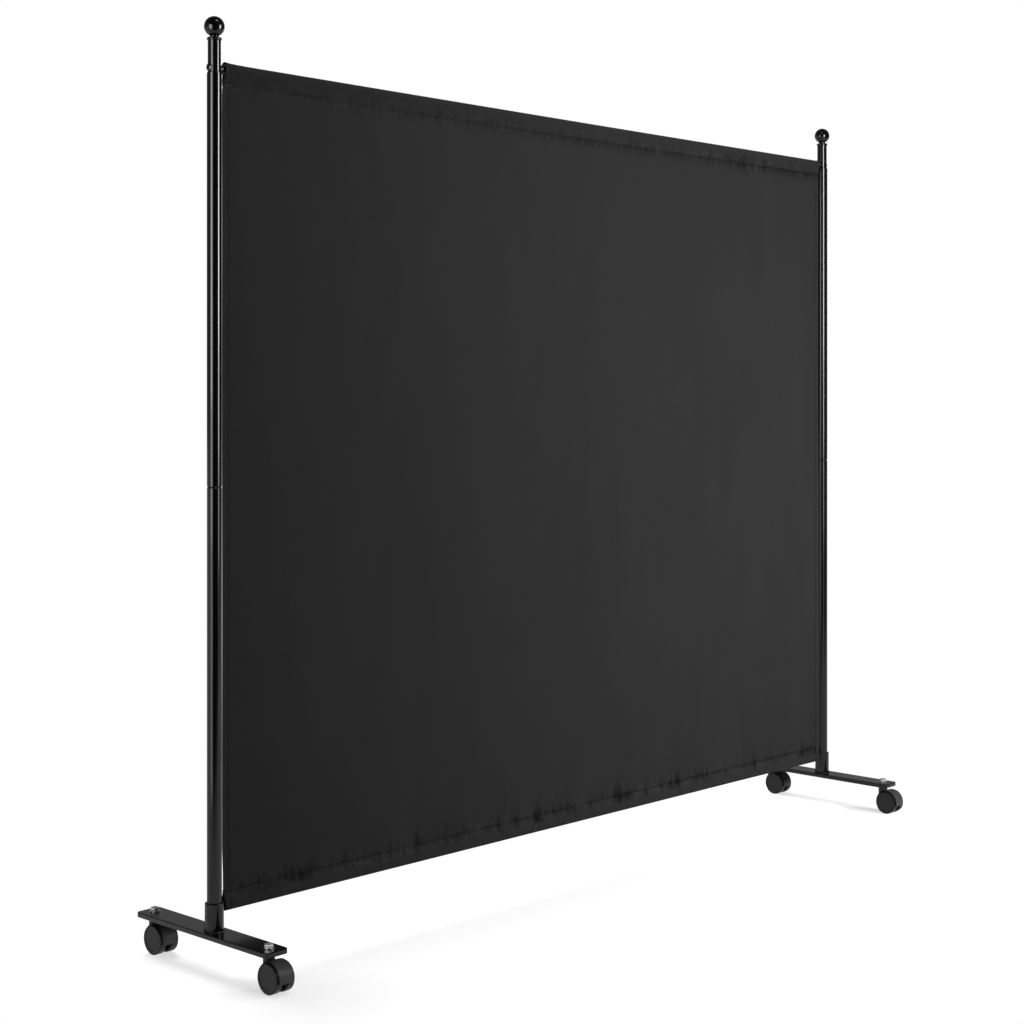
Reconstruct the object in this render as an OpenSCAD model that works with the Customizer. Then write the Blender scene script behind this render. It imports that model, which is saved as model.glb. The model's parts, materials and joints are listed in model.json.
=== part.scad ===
// Rolling partition: one cloth panel held on two rods between two tubular posts.
// Each post stands in the socket of a flat foot, and each foot rolls on two twin-wheel casters.
// Millimetres. X runs along the panel, -Y is the front, Z is up, the floor is at Z = 0,
// and the origin lies on the floor under the middle of the panel.

/* [Panel] */
// Distance between the axes of the two posts
post_spacing = 1800; // [1200:10:2400]
// Height of the cloth's lower edge above the floor
cloth_bottom = 97; // [92:1:140]
// Height of the cloth panel
cloth_h = 1425; // [1100:5:1900]
// Thickness of the cloth
cloth_t = 1; // [0.6:0.1:1.6]
// Gap between the post and the cloth's side edge
side_gap = 8; // [7.5:0.5:14]
// Depth of the sewn sleeves at the top and bottom edge
sleeve_depth = 32.5; // [28:0.5:60]
// Depth of the main folds in the cloth
fold_depth = 5; // [1:0.5:12]
// Number of main folds across the cloth
fold_count = 4; // [2:1:5]
// Shift of the folds from the top to the bottom of the cloth, in degrees of one fold
fold_lean = 40; // [0:5:90]

/* [Rods] */
// Outer diameter of the rods in the sleeves
rod_d = 13; // [11:0.5:16]
// Wall of the rods
rod_wall = 1; // [0.8:0.1:1.5]
// Length of the joiner inside each rod
joiner_len = 160; // [80:5:300]
// Room between the top rod and the cloth over it
sleeve_slack = 0.5; // [0.3:0.1:3]
// Room between the bottom rod and the cloth under it
bottom_slack = 3; // [0.5:0.5:8]
// Gap between the post and the flange of a rod's end plug
rod_gap = 6.5; // [5:0.5:7]
// Thickness of the end plugs' flange
flange_t = 3; // [2:0.5:5]
// Depth of the end plugs inside the rods
plug_depth = 18; // [10:1:40]
// Diameter of the spacers between the posts and the top plugs
spacer_d = 9; // [8:0.5:10]
// Diameter of the bottom pins, which lock the rod into the sockets
pin_d = 7; // [5:0.5:8]
// How far the bottom pins reach into the lower tube
pin_reach = 2; // [1:0.5:6]

/* [Bolts] */
// Shank diameter of the bolts at the top rod
bolt_d = 6; // [4:0.5:7]
// Shank length of the bolts at the top rod
bolt_len = 45; // [36:1:46]
// Head diameter of the bolts
bolt_head_d = 13; // [10:0.5:16]
// Head height of the bolts
bolt_head_h = 3.2; // [2:0.1:5]
// Height of the straight rim under the bolts' domed head
bolt_head_rim = 1; // [0.5:0.1:1.5]
// Width across flats of the bolts' hex recess
bolt_key = 4; // [2.5:0.5:5]

/* [Posts] */
// Outer diameter of the lower and upper post tubes
post_d = 25; // [22:0.5:32]
// Wall of the post tubes
post_wall = 1.4; // [1:0.1:2]
// Length of the lower post tube, from the foot to the ring joint
lower_tube_len = 743; // [400:1:900]
// Length of the upper tube's spigot inside the lower tube
spigot_len = 60; // [30:5:120]
// Wall of the top tube
top_tube_wall = 1.4; // [1:0.1:1.8]
// Length of the top tube above the upper post tube
top_tube_show = 53.5; // [40:0.5:120]
// Length of the top tube inside the upper post tube
top_tube_hidden = 60; // [30:5:120]
// Distance from the bolt's head down to the upper post tube's rim
rim_below_head = 1; // [0.5:0.5:6]

/* [Finials] */
// Diameter of the finial's ball
ball_d = 34.5; // [28:0.5:50]
// Diameter of the finial's neck
neck_d = 14; // [10:0.5:20]
// Length of the neck between collar and ball
neck_len = 3.4; // [2:0.1:15]
// Diameter of the finial's collar
collar_d = 25; // [24:0.5:32]
// Height of the finial's collar
collar_h = 5.8; // [3:0.2:12]
// Depth of the finial's plug inside the top tube
finial_plug = 18; // [8:1:30]

/* [Feet] */
// Length of the foot plates
foot_len = 356; // [300:1:520]
// Width of the foot plates
foot_w = 48; // [40:1:80]
// Thickness of the foot plates
foot_t = 9; // [6:0.5:14]
// Radius of the foot plates' corners
foot_corner = 7; // [2:0.5:14]
// Radius of the foot plates' rounded edges
foot_edge = 1.5; // [0.5:0.1:2.5]
// Distance of the post from the middle of its foot plate
post_offset = 12; // [0:1:30]
// Distance from the end of a foot plate to its caster stem
stem_inset = 22; // [16:1:60]
// Wall of the post sockets
socket_wall = 3.35; // [2:0.05:4.5]
// Distance from the bottom pin's axis up to the socket's rim
socket_over_pin = 8; // [6:0.5:20]
// Radius of the socket's rounded rim
socket_round = 3; // [1:0.1:3]
// Radius of the weld bead round the socket
weld_r = 2.4; // [1:0.1:4]

/* [Casters] */
// Overall height of a caster below the foot plate
caster_h = 59; // [57:0.5:80]
// Diameter of the wheels
wheel_d = 50; // [40:1:52]
// Width over the two wheels of a caster
caster_w = 37; // [32:0.5:46]
// Distance of the axle behind the swivel axis
trail = 18; // [14:0.5:22]
// Thickness of the hood's middle web
web_t = 12; // [11:0.5:14]
// Gap between the wheels and the inside of the hood
wheel_gap = 0.9; // [0.5:0.1:1.5]
// Wall of the hood
hood_wall = 1.6; // [1:0.1:2]
// How far each wheel stands proud of the hood's side
wheel_proud = 3; // [1.5:0.5:5]
// How far the hood reaches below the axle at the back
hood_drop = 10; // [4:0.5:14]
// Diameter of the swivel boss
boss_d = 20; // [17:0.5:24]
// Wall of the wheels' outer face
wheel_face_t = 2.5; // [1.5:0.1:3]
// Thickness of the wheels' tread
tread_t = 3; // [2:0.1:5]
// Diameter of the wheels' hub
hub_d = 13; // [10:0.5:18]
// Width of the flat rim round the shallow dish in the wheels' face
dish_rim = 5; // [3:0.5:9]
// Depth of the shallow dish in the wheels' face
dish_depth = 0.8; // [0.3:0.1:1]
// Chamfer of the wheels' outer edge
wheel_edge = 1; // [0.5:0.1:2]
// Diameter of the axles
axle_d = 5; // [3:0.5:8]
// Diameter of the stems' thread
stem_d = 9.5; // [8:0.5:10]
// Diameter of the stems' journal in the hood's web
journal_d = 8; // [6:0.1:8.5]
// Length of the stems' journal
journal_len = 26; // [14:1:30]
// Diameter of the stems' flange under the foot plate
stem_flange_d = 18; // [14:0.5:22]
// Thickness of the stems' flange
stem_flange_t = 1.8; // [1:0.1:3]
// Width across flats of the stem nuts
nut_af = 14.3; // [13:0.1:19]
// Height of the stem nuts
nut_h = 8.3; // [5:0.1:12]
// Diameter of the stem washers
washer_d = 18; // [16:0.5:26]
// Thickness of the stem washers
washer_t = 1.6; // [1:0.1:3]
// Length of the stems above their nuts
stem_show = 2; // [0.5:0.5:8]

/* [Hidden] */
// Clearances on the radius: plugged together, pushed through a hole, and turning
fit_gap = 0.1;
hole_gap = 0.25;
run_gap = 0.05;
// Gap between faces that turn past each other
face_gap = 0.3;
// Gap between a rod and the cloth looped round it
loop_gap = 0.4;
// Gap between the two layers of cloth at a seam, and the flap beyond it
seam_gap = 0.2;
seam_flap = 3;
// Chamfer at the rims where tubes meet
rim_chamfer = 0.6;
// How far a cut runs past the face it opens, and how deep two shapes of one piece are joined
cut = 1;
lap = 0.5;
round_fn = 96;
// Steps of the cloth's mesh half round a loop, down the sheet and along the panel
loop_steps = 6;
sheet_steps = 9;
cloth_steps = 17;

half_spacing = post_spacing / 2;
cloth_half_w = half_spacing - post_d / 2 - side_gap;
cloth_top = cloth_bottom + cloth_h;
loop_r = rod_d / 2 + loop_gap + cloth_t / 2;
top_rod_z = cloth_top - cloth_t - sleeve_slack - rod_d / 2;
bottom_rod_z = cloth_bottom + cloth_t + bottom_slack + rod_d / 2;
flange_x = half_spacing - post_d / 2 - rod_gap;
rod_half_len = flange_x - flange_t;
pin_end = -rod_half_len + plug_depth / 2;
rod_bore_r = rod_d / 2 - rod_wall;

foot_bottom = caster_h;
foot_top = foot_bottom + foot_t;
joint_z = foot_top + lower_tube_len;
rim_z = top_rod_z - bolt_head_d / 2 - rim_below_head;
post_bore_r = post_d / 2 - post_wall;
top_tube_top = rim_z + top_tube_show;
top_tube_r = post_bore_r - fit_gap;
top_tube_bore_r = top_tube_r - top_tube_wall;
socket_bore_r = post_d / 2 + fit_gap;
socket_r = socket_bore_r + socket_wall;
socket_top = bottom_rod_z + socket_over_pin;
stem_spacing = foot_len - 2 * stem_inset;

wheel_r = wheel_d / 2;
well_r = wheel_r + wheel_gap;
hood_r = well_r + hood_wall;
hood_w = caster_w - 2 * wheel_proud;
boss_top = caster_h - stem_flange_t - face_gap;
journal_bottom = boss_top - journal_len;
boss_bottom = boss_top - (boss_top - wheel_r) / 2;

SIDES = [-1, 1];
// Name of each caster, its foot's side along X, and its end of the foot along Y
CASTERS = [
    ["left_front", -1, -1],
    ["left_rear", -1, 1],
    ["right_front", 1, -1],
    ["right_rear", 1, 1]
];
CASTER_PARTS = ["hood", "stem", "axle", "outer_wheel", "inner_wheel"];

// The right half of the frame is the left half turned half a turn, so only the left is drawn
function side_turn(side) = side < 0 ? 0 : 180;
// Y of a caster's stem: the feet are turned too, so their offset changes sign
function stem_y(side, end) = -side * post_offset + end * stem_spacing / 2;

module at_side(side) {
    rotate([0, 0, side_turn(side)]) children();
}

module at_post(side) {
    at_side(side) translate([-half_spacing, 0, 0]) children();
}

module at_caster(side, end) {
    translate([side * half_spacing, stem_y(side, end), 0]) children();
}

module tube(outer_r, bore_r, z0, z1) {
    rotate_extrude($fn = round_fn)
        translate([bore_r, z0]) square([outer_r - bore_r, z1 - z0]);
}

module x_cylinder(r, x0, x1, fn = 48) {
    translate([x0, 0, 0]) rotate([0, 90, 0]) cylinder(r = r, h = x1 - x0, $fn = fn);
}

// ---- Cloth ----
// The cloth is one ribbon in the YZ plane, carried along X: a flap behind the top seam, the loop
// over the top rod, the sheet, the loop under the bottom rod, and a flap behind the bottom seam.
layer_y = (cloth_t + seam_gap) / 2;
top_seam_z = cloth_top - sleeve_depth;
bottom_seam_z = cloth_bottom + sleeve_depth;
bottom_loop_z = cloth_bottom + cloth_t / 2 + loop_r;
// Angle at which the cloth leaves a rod towards the seam
leave_angle = asin((loop_r - layer_y) / (sleeve_depth - loop_r - cloth_t / 2));
loop_arc = concat(
    [-leave_angle], [for (i = [0 : loop_steps]) i * 180 / loop_steps], [180 + leave_angle]
);
// Under the bottom rod the loop hangs lower than the rod by the slack
function bottom_centre(a) = a < 0 || a > 180 ? bottom_rod_z : bottom_loop_z;

// Middle line of the ribbon as Y, Z and share of the sheet's height, 0 off the open sheet
cloth_path = concat(
    [[layer_y, top_seam_z - seam_flap, 0], [layer_y, top_seam_z, 0]],
    [for (a = loop_arc) [loop_r * cos(a), top_rod_z + loop_r * sin(a), 0]],
    [[-layer_y, top_seam_z, 0]],
    [for (i = [1 : sheet_steps]) let (s = i / (sheet_steps + 1))
        [-layer_y, top_seam_z + (bottom_seam_z - top_seam_z) * s, s]],
    [[-layer_y, bottom_seam_z, 0]],
    [for (a = loop_arc) [-loop_r * cos(a), bottom_centre(a) - loop_r * sin(a), 0]],
    [[layer_y, bottom_seam_z, 0], [layer_y, bottom_seam_z + seam_flap, 0]]
);
path_last = len(cloth_path) - 1;

function path_point(j) = [cloth_path[j][0], cloth_path[j][1]];
function unit(v) = v / norm(v);
function path_tangent(j) =
    unit(path_point(min(j + 1, path_last)) - path_point(max(j - 1, 0)));
// A point at a distance from the ribbon's middle line
function ribbon_point(j, d) =
    let (t = path_tangent(j)) path_point(j) + d * [t[1], -t[0]];
// The folds fade out towards the rods and the side edges
function fold_y(u, s) =
    fold_depth / 2 * sin(180 * s) * sin(180 * u) * sin(360 * fold_count * u - fold_lean * s);
function cloth_ring(u) = [
    for (k = [0 : 2 * path_last + 1])
        let (j = k <= path_last ? k : 2 * path_last + 1 - k)
        let (p = ribbon_point(j, (k <= path_last ? 1 : -1) * cloth_t / 2))
        [(2 * u - 1) * cloth_half_w, p[0] + fold_y(u, cloth_path[j][2]), p[1]]
];

module cloth_panel() {
    ring_n = 2 * (path_last + 1);
    rings = [for (i = [0 : cloth_steps]) each cloth_ring(i / cloth_steps)];
    walls = [
        for (i = [0 : cloth_steps - 1]) for (k = [0 : ring_n - 1])
            let (a = i * ring_n + k, b = i * ring_n + (k + 1) % ring_n)
            each [[a, b, b + ring_n], [a, b + ring_n, a + ring_n]]
    ];
    function cap(base, flip) = [
        for (j = [0 : path_last - 1])
            let (a = base + j, b = base + j + 1)
            let (c = base + ring_n - 2 - j, d = base + ring_n - 1 - j)
            each (flip ? [[a, b, c], [a, c, d]] : [[a, c, b], [a, d, c]])
    ];
    color("#26262a") polyhedron(
        points = rings,
        faces = concat(walls, cap(0, false), cap(cloth_steps * ring_n, true))
    );
}

// ---- Rods ----
module rod_half(side, z) {
    x0 = side < 0 ? -rod_half_len : 0;
    color("#3c3c40") translate([0, 0, z]) difference() {
        x_cylinder(rod_d / 2, x0, x0 + rod_half_len);
        x_cylinder(rod_bore_r, x0 - cut, x0 + rod_half_len + cut);
    }
}

module top_rod_left() { rod_half(-1, top_rod_z); }
module top_rod_right() { rod_half(1, top_rod_z); }
module bottom_rod_left() { rod_half(-1, bottom_rod_z); }
module bottom_rod_right() { rod_half(1, bottom_rod_z); }

module rod_joiners() {
    color("#77777c") for (z = [top_rod_z, bottom_rod_z])
        translate([0, 0, z]) x_cylinder(rod_bore_r - fit_gap, -joiner_len / 2, joiner_len / 2);
}

// Plug inside the rod's end and the flange outside it, at the left end, with its bore
module rod_plug(z, bore_r, bore_end) {
    translate([0, 0, z]) difference() {
        union() {
            x_cylinder(rod_d / 2, -flange_x, -rod_half_len);
            x_cylinder(rod_bore_r - fit_gap, -rod_half_len - lap, -rod_half_len + plug_depth);
        }
        x_cylinder(bore_r, -flange_x - cut, bore_end);
    }
}

module top_rod_plugs() {
    color("#1c1c1e") for (side = SIDES) at_side(side)
        rod_plug(top_rod_z, bolt_d / 2 + run_gap, -rod_half_len + plug_depth + cut);
}

module bottom_rod_plugs() {
    color("#1c1c1e") for (side = SIDES) at_side(side)
        rod_plug(bottom_rod_z, pin_d / 2 + run_gap, pin_end + face_gap);
}

// Sleeves round the bolts that hold the top plugs off the posts, hollowed to sit on the tube
module top_spacers() {
    color("#c8c8cc") for (side = SIDES) at_side(side) difference() {
        translate([0, 0, top_rod_z]) x_cylinder(spacer_d / 2, -half_spacing, -flange_x);
        translate([-half_spacing, 0, top_rod_z - rod_d])
            cylinder(r = top_tube_r + run_gap, h = 2 * rod_d, $fn = round_fn);
        translate([0, 0, top_rod_z])
            x_cylinder(bolt_d / 2 + run_gap, -half_spacing, -rod_half_len);
    }
}

module bottom_pins() {
    color("#c8c8cc") for (side = SIDES) at_side(side) translate([0, 0, bottom_rod_z])
        x_cylinder(pin_d / 2, -half_spacing + post_bore_r - pin_reach, pin_end);
}

// The heads are flat underneath and bear on the top tube's outermost line
module rod_bolts() {
    seat_x = -half_spacing - top_tube_r;
    color("#111112") for (side = SIDES) at_side(side) translate([seat_x, 0, top_rod_z]) {
        x_cylinder(bolt_d / 2, -bolt_head_h / 4, bolt_len);
        rotate([0, -90, 0]) difference() {
            bolt_head();
            translate([0, 0, bolt_head_h / 3])
                cylinder(d = bolt_key / cos(30), h = bolt_head_h, $fn = 6);
        }
    }
}

// Domed head: a ball that stands clear of the seat by a short straight rim
module bolt_head() {
    dome_h = bolt_head_h - bolt_head_rim;
    dome_r = (pow(bolt_head_d / 2, 2) + pow(dome_h, 2)) / (2 * dome_h);
    intersection() {
        cylinder(d = bolt_head_d, h = bolt_head_h + cut, $fn = round_fn);
        translate([0, 0, bolt_head_h - dome_r]) sphere(r = dome_r, $fn = round_fn);
    }
}

// ---- Posts ----
// Half section of a tube wall whose outer rims are chamfered where they meet a neighbour
module wall_section(outer_r, bore_r, z0, z1, c0, c1) {
    polygon([
        [bore_r, z0], [outer_r - c0, z0], [outer_r, z0 + c0],
        [outer_r, z1 - c1], [outer_r - c1, z1], [bore_r, z1]
    ]);
}

module lower_tube() {
    color("#0c0c0d") difference() {
        rotate_extrude($fn = round_fn)
            wall_section(post_d / 2, post_bore_r, foot_top, joint_z, rim_chamfer, rim_chamfer);
        translate([0, 0, bottom_rod_z]) x_cylinder(pin_d / 2 + hole_gap, 0, post_d);
    }
}

// The spigot below the ring joint is the same tube drawn narrower
module upper_tube() {
    spigot_r = post_bore_r - fit_gap;
    overlap = post_wall / 4;
    color("#0c0c0d") rotate_extrude($fn = round_fn) {
        wall_section(post_d / 2, post_bore_r, joint_z, rim_z, rim_chamfer, rim_chamfer);
        polygon([
            [spigot_r - post_wall, joint_z - spigot_len],
            [spigot_r, joint_z - spigot_len],
            [spigot_r, joint_z],
            [post_bore_r + overlap, joint_z],
            [post_bore_r + overlap, joint_z + post_wall],
            [spigot_r - post_wall, joint_z + post_wall]
        ]);
    }
}

module top_tube() {
    color("#0c0c0d") difference() {
        tube(top_tube_r, top_tube_bore_r, rim_z - top_tube_hidden, top_tube_top);
        translate([0, 0, top_rod_z]) x_cylinder(bolt_d / 2 + hole_gap, -post_d, post_d);
    }
}

// One turned piece: plug, collar with a round edge, neck and ball
module finial() {
    ball_r = ball_d / 2;
    ball_sink = ball_r - sqrt(pow(ball_r, 2) - pow(neck_d / 2, 2));
    ball_z = collar_h + neck_len + ball_r - ball_sink;
    color("#0c0c0d") translate([0, 0, top_tube_top]) {
        rotate_extrude($fn = round_fn) {
            difference() {
                union() {
                    translate([collar_d / 2 - collar_h / 2, collar_h / 2])
                        circle(d = collar_h, $fn = 48);
                    square([collar_d / 2 - collar_h / 2, collar_h]);
                }
                translate([-collar_d, -cut]) square([collar_d, collar_h + 2 * cut]);
            }
            translate([0, collar_h - lap]) square([neck_d / 2, neck_len + ball_sink + 2 * lap]);
            translate([0, -finial_plug])
                square([top_tube_bore_r - fit_gap, finial_plug + lap]);
        }
        translate([0, 0, ball_z]) sphere(r = ball_r, $fn = round_fn);
    }
}

module left_lower_tube() { at_post(-1) lower_tube(); }
module left_upper_tube() { at_post(-1) upper_tube(); }
module left_top_tube() { at_post(-1) top_tube(); }
module left_finial() { at_post(-1) finial(); }
module right_lower_tube() { at_post(1) lower_tube(); }
module right_upper_tube() { at_post(1) upper_tube(); }
module right_top_tube() { at_post(1) top_tube(); }
module right_finial() { at_post(1) finial(); }

// ---- Feet ----
// Outline of the plate's corner posts, with the rounded edges
module corner_section() {
    e = foot_edge;
    translate([foot_corner - e, e]) circle(r = e, $fn = 16);
    translate([foot_corner - e, foot_t - e]) circle(r = e, $fn = 16);
    square([foot_corner - e, foot_t]);
    translate([0, e]) square([foot_corner, foot_t - 2 * e]);
}

// A flat bar with rounded corners and edges, drilled for the two stems
module foot_plate() {
    color("#141416") translate([0, post_offset, foot_bottom]) difference() {
        hull() for (x = SIDES) for (y = SIDES)
            translate([x * (foot_w / 2 - foot_corner), y * (foot_len / 2 - foot_corner), 0])
                rotate_extrude($fn = 32) corner_section();
        for (end = SIDES) translate([0, end * stem_spacing / 2, -cut])
            cylinder(r = stem_d / 2 + hole_gap, h = foot_t + 2 * cut, $fn = 48);
    }
}

// The socket's rim is rounded over the post, and a weld bead runs round its base
module foot_socket() {
    color("#101011") difference() {
        rotate_extrude($fn = round_fn) {
            translate([socket_bore_r, foot_top])
                square([socket_wall, socket_top - foot_top - socket_round]);
            translate([socket_bore_r, socket_top - socket_round - lap])
                square([socket_wall - socket_round, socket_round + lap]);
            intersection() {
                translate([socket_r - socket_round, socket_top - socket_round])
                    circle(r = socket_round, $fn = 48);
                translate([socket_bore_r, foot_top]) square([socket_wall, socket_top - foot_top]);
            }
            intersection() {
                translate([socket_r, foot_top]) circle(r = weld_r, $fn = 32);
                translate([socket_r - lap, foot_top]) square(weld_r + cut);
            }
        }
        translate([0, 0, bottom_rod_z]) x_cylinder(pin_d / 2 + hole_gap, 0, socket_r + post_d);
    }
}

module left_foot_plate() { at_post(-1) foot_plate(); }
module left_foot_socket() { at_post(-1) foot_socket(); }
module right_foot_plate() { at_post(1) foot_plate(); }
module right_foot_socket() { at_post(1) foot_socket(); }

module at_every_stem() {
    for (c = CASTERS) at_caster(c[1], c[2]) children();
}

module stem_washers() {
    color("#c8c8cc") at_every_stem()
        tube(washer_d / 2, stem_d / 2 + hole_gap, foot_top, foot_top + washer_t);
}

// Hexagonal nuts whose upper corners are turned off
module stem_nuts() {
    corner_r = nut_af / sqrt(3);
    color("#d8d8dc") at_every_stem() translate([0, 0, foot_top + washer_t]) difference() {
        intersection() {
            cylinder(r = corner_r, h = nut_h, $fn = 6);
            rotate_extrude($fn = round_fn) polygon([
                [0, 0], [corner_r, 0], [corner_r, nut_h - (corner_r - nut_af / 2)],
                [nut_af / 2 - rim_chamfer / 2, nut_h], [0, nut_h]
            ]);
        }
        translate([0, 0, -cut])
            cylinder(r = stem_d / 2 + run_gap, h = nut_h + 2 * cut, $fn = 48);
    }
}

// ---- Casters ----
// Each caster is drawn round its swivel axis, and its wheels trail towards the front
module at_axle() {
    translate([0, -trail, wheel_r]) children();
}

// Outline of the hood seen along the axle: a round cover, open below
module hood_cover(r) {
    difference() {
        circle(r = r, $fn = round_fn);
        translate([-2 * r, -2 * r]) square([2 * r, 2 * r - hood_drop]);
        translate([0, -2 * r]) square([2 * r, 2 * r]);
    }
}

// Extrusion of an outline in the plane across the axle, centred on X
module across(w) {
    translate([-w / 2, 0, 0]) rotate([90, 0, 90]) linear_extrude(w) children();
}

// A round cover drawn solid, then hollowed on both sides of the web to take the wheels
module caster_hood() {
    color("#2e2e31") difference() {
        union() {
            at_axle() {
                across(hood_w) hood_cover(hood_r);
                across(web_t) circle(d = hub_d, $fn = 48);
            }
            translate([0, 0, boss_bottom])
                cylinder(d = boss_d, h = boss_top - boss_bottom, $fn = round_fn);
        }
        at_axle() {
            for (side = SIDES) x_cylinder(
                well_r,
                side < 0 ? -caster_w : web_t / 2,
                side < 0 ? -web_t / 2 : caster_w,
                round_fn
            );
            x_cylinder(axle_d / 2 + run_gap, -caster_w, caster_w);
        }
        translate([0, 0, journal_bottom - face_gap])
            cylinder(r = journal_d / 2 + run_gap, h = caster_h, $fn = 48);
    }
}

// Journal in the hood, flange under the foot plate, and the threaded end through nut and washer
module caster_stem() {
    thread_top = foot_top + washer_t + nut_h + stem_show;
    end_chamfer = stem_show / 2;
    color("#b4b4b8") rotate_extrude($fn = round_fn) polygon([
        [0, journal_bottom], [journal_d / 2, journal_bottom],
        [journal_d / 2, boss_top + face_gap], [stem_flange_d / 2, boss_top + face_gap],
        [stem_flange_d / 2, foot_bottom], [stem_d / 2, foot_bottom],
        [stem_d / 2, thread_top - end_chamfer], [stem_d / 2 - end_chamfer, thread_top],
        [0, thread_top]
    ]);
}

module caster_axle() {
    reach = caster_w / 2 - wheel_face_t;
    color("#9a9a9e") at_axle() x_cylinder(axle_d / 2, -reach, reach);
}

// A cup: closed dished face outside, tread and hub towards the hood's web
module wheel(side) {
    inner_x = web_t / 2 + face_gap;
    outer_x = caster_w / 2;
    dish_r = wheel_r - dish_rim;
    color("#1b1b1d") at_axle() rotate([0, side * 90, 0]) difference() {
        rotate_extrude($fn = round_fn) polygon([
            [0, inner_x], [hub_d / 2, inner_x], [hub_d / 2, outer_x - wheel_face_t],
            [wheel_r - tread_t, outer_x - wheel_face_t], [wheel_r - tread_t, inner_x],
            [wheel_r, inner_x], [wheel_r, outer_x - wheel_edge], [wheel_r - wheel_edge, outer_x],
            [dish_r, outer_x], [dish_r - dish_depth, outer_x - dish_depth],
            [0, outer_x - dish_depth]
        ]);
        cylinder(r = axle_d / 2 + run_gap, h = outer_x - wheel_face_t + face_gap / 2, $fn = 48);
    }
}

cloth_panel();
top_rod_left();
top_rod_right();
bottom_rod_left();
bottom_rod_right();
rod_joiners();
top_rod_plugs();
bottom_rod_plugs();
top_spacers();
bottom_pins();
rod_bolts();
left_lower_tube();
left_upper_tube();
left_top_tube();
left_finial();
right_lower_tube();
right_upper_tube();
right_top_tube();
right_finial();
left_foot_plate();
left_foot_socket();
right_foot_plate();
right_foot_socket();
stem_nuts();
stem_washers();
for (c = CASTERS) at_caster(c[1], c[2]) {
    caster_hood();
    caster_stem();
    caster_axle();
    wheel(c[1]);
    wheel(-c[1]);
}
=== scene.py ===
"""Rolling partition: the dressed model.

A black cloth panel hangs between two gloss black posts. Each post stands in the socket of a flat
foot on two twin-wheel casters. Metres, in the same frame as the solids: X along the panel, -Y the
front, Z up.
"""

import json
import math

import bmesh
import bpy
import numpy as np
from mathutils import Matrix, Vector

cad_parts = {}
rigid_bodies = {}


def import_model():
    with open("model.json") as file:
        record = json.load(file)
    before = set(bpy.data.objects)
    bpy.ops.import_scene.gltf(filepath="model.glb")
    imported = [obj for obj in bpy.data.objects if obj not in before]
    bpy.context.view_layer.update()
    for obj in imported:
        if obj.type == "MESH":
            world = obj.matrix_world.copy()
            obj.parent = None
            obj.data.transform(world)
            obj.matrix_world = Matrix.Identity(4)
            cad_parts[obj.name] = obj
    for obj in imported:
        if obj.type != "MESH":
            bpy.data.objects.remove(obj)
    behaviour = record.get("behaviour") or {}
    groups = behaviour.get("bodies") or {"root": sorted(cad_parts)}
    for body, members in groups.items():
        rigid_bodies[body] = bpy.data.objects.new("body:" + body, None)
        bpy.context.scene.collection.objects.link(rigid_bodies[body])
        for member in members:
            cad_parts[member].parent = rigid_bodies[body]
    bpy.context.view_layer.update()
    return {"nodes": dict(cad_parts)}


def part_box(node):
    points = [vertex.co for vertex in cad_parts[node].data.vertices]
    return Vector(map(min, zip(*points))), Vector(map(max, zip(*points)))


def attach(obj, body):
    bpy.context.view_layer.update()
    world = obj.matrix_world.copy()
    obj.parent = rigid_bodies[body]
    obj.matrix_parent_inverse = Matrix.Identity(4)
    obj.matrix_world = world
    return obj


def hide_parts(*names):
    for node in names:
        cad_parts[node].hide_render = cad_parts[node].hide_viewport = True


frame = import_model()

bl_info = {
    "name": "Rolling partition",
    "version": (1, 0, 0),
    "blender": (4, 5, 0),
    "location": "View3D > Sidebar > Partition",
    "description": "Builds a cloth panel on two posts with rolling feet",
    "category": "Add Mesh",
}

MM = 0.001
TURN = 2 * math.pi
SIDES = ("left", "right")
CASTERS = ("left_front", "left_rear", "right_front", "right_rear")
RODS = ["top_rod_left", "top_rod_right", "bottom_rod_left", "bottom_rod_right"]


def low(node):
    """Lowest corner of a solid, as an array."""
    return np.array(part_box(node)[0])


def high(node):
    """Highest corner of a solid, as an array."""
    return np.array(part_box(node)[1])


def middle(node):
    """Middle of a solid's box, as an array."""
    return (low(node) + high(node)) / 2


def half(node):
    """Half the size of a solid's box, as an array."""
    return (high(node) - low(node)) / 2


def upright(node):
    """Where the upright axis through a solid's middle meets the floor, as an array."""
    return middle(node) * [1, 1, 0]


TOP_ROD, BOTTOM_ROD = middle(RODS[0])[2], middle(RODS[2])[2]  # heights of the rods


# ---- Sizes and colours that a user would change ----


def number(name, default, text, **kind):
    """A number setting."""
    return bpy.props.FloatProperty(name=name, description=text, default=default, **kind)


def length(name, default, text):
    """A length setting, given in millimetres, that goes up to ten times its default."""
    return number(name, default * MM, text, min=0, max=10 * default * MM, precision=5, unit="LENGTH")


def count(name, default, text, least, most):
    """A whole number setting."""
    return bpy.props.IntProperty(name=name, description=text, default=default, min=least, max=most)


def three(name, default, text, **kind):
    """A setting of three numbers."""
    return bpy.props.FloatVectorProperty(name=name, description=text, default=default, size=3, **kind)


def colour(name, default, text):
    """A colour setting, in linear light."""
    return three(name, default, text, min=0, max=1, subtype="COLOR")


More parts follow.
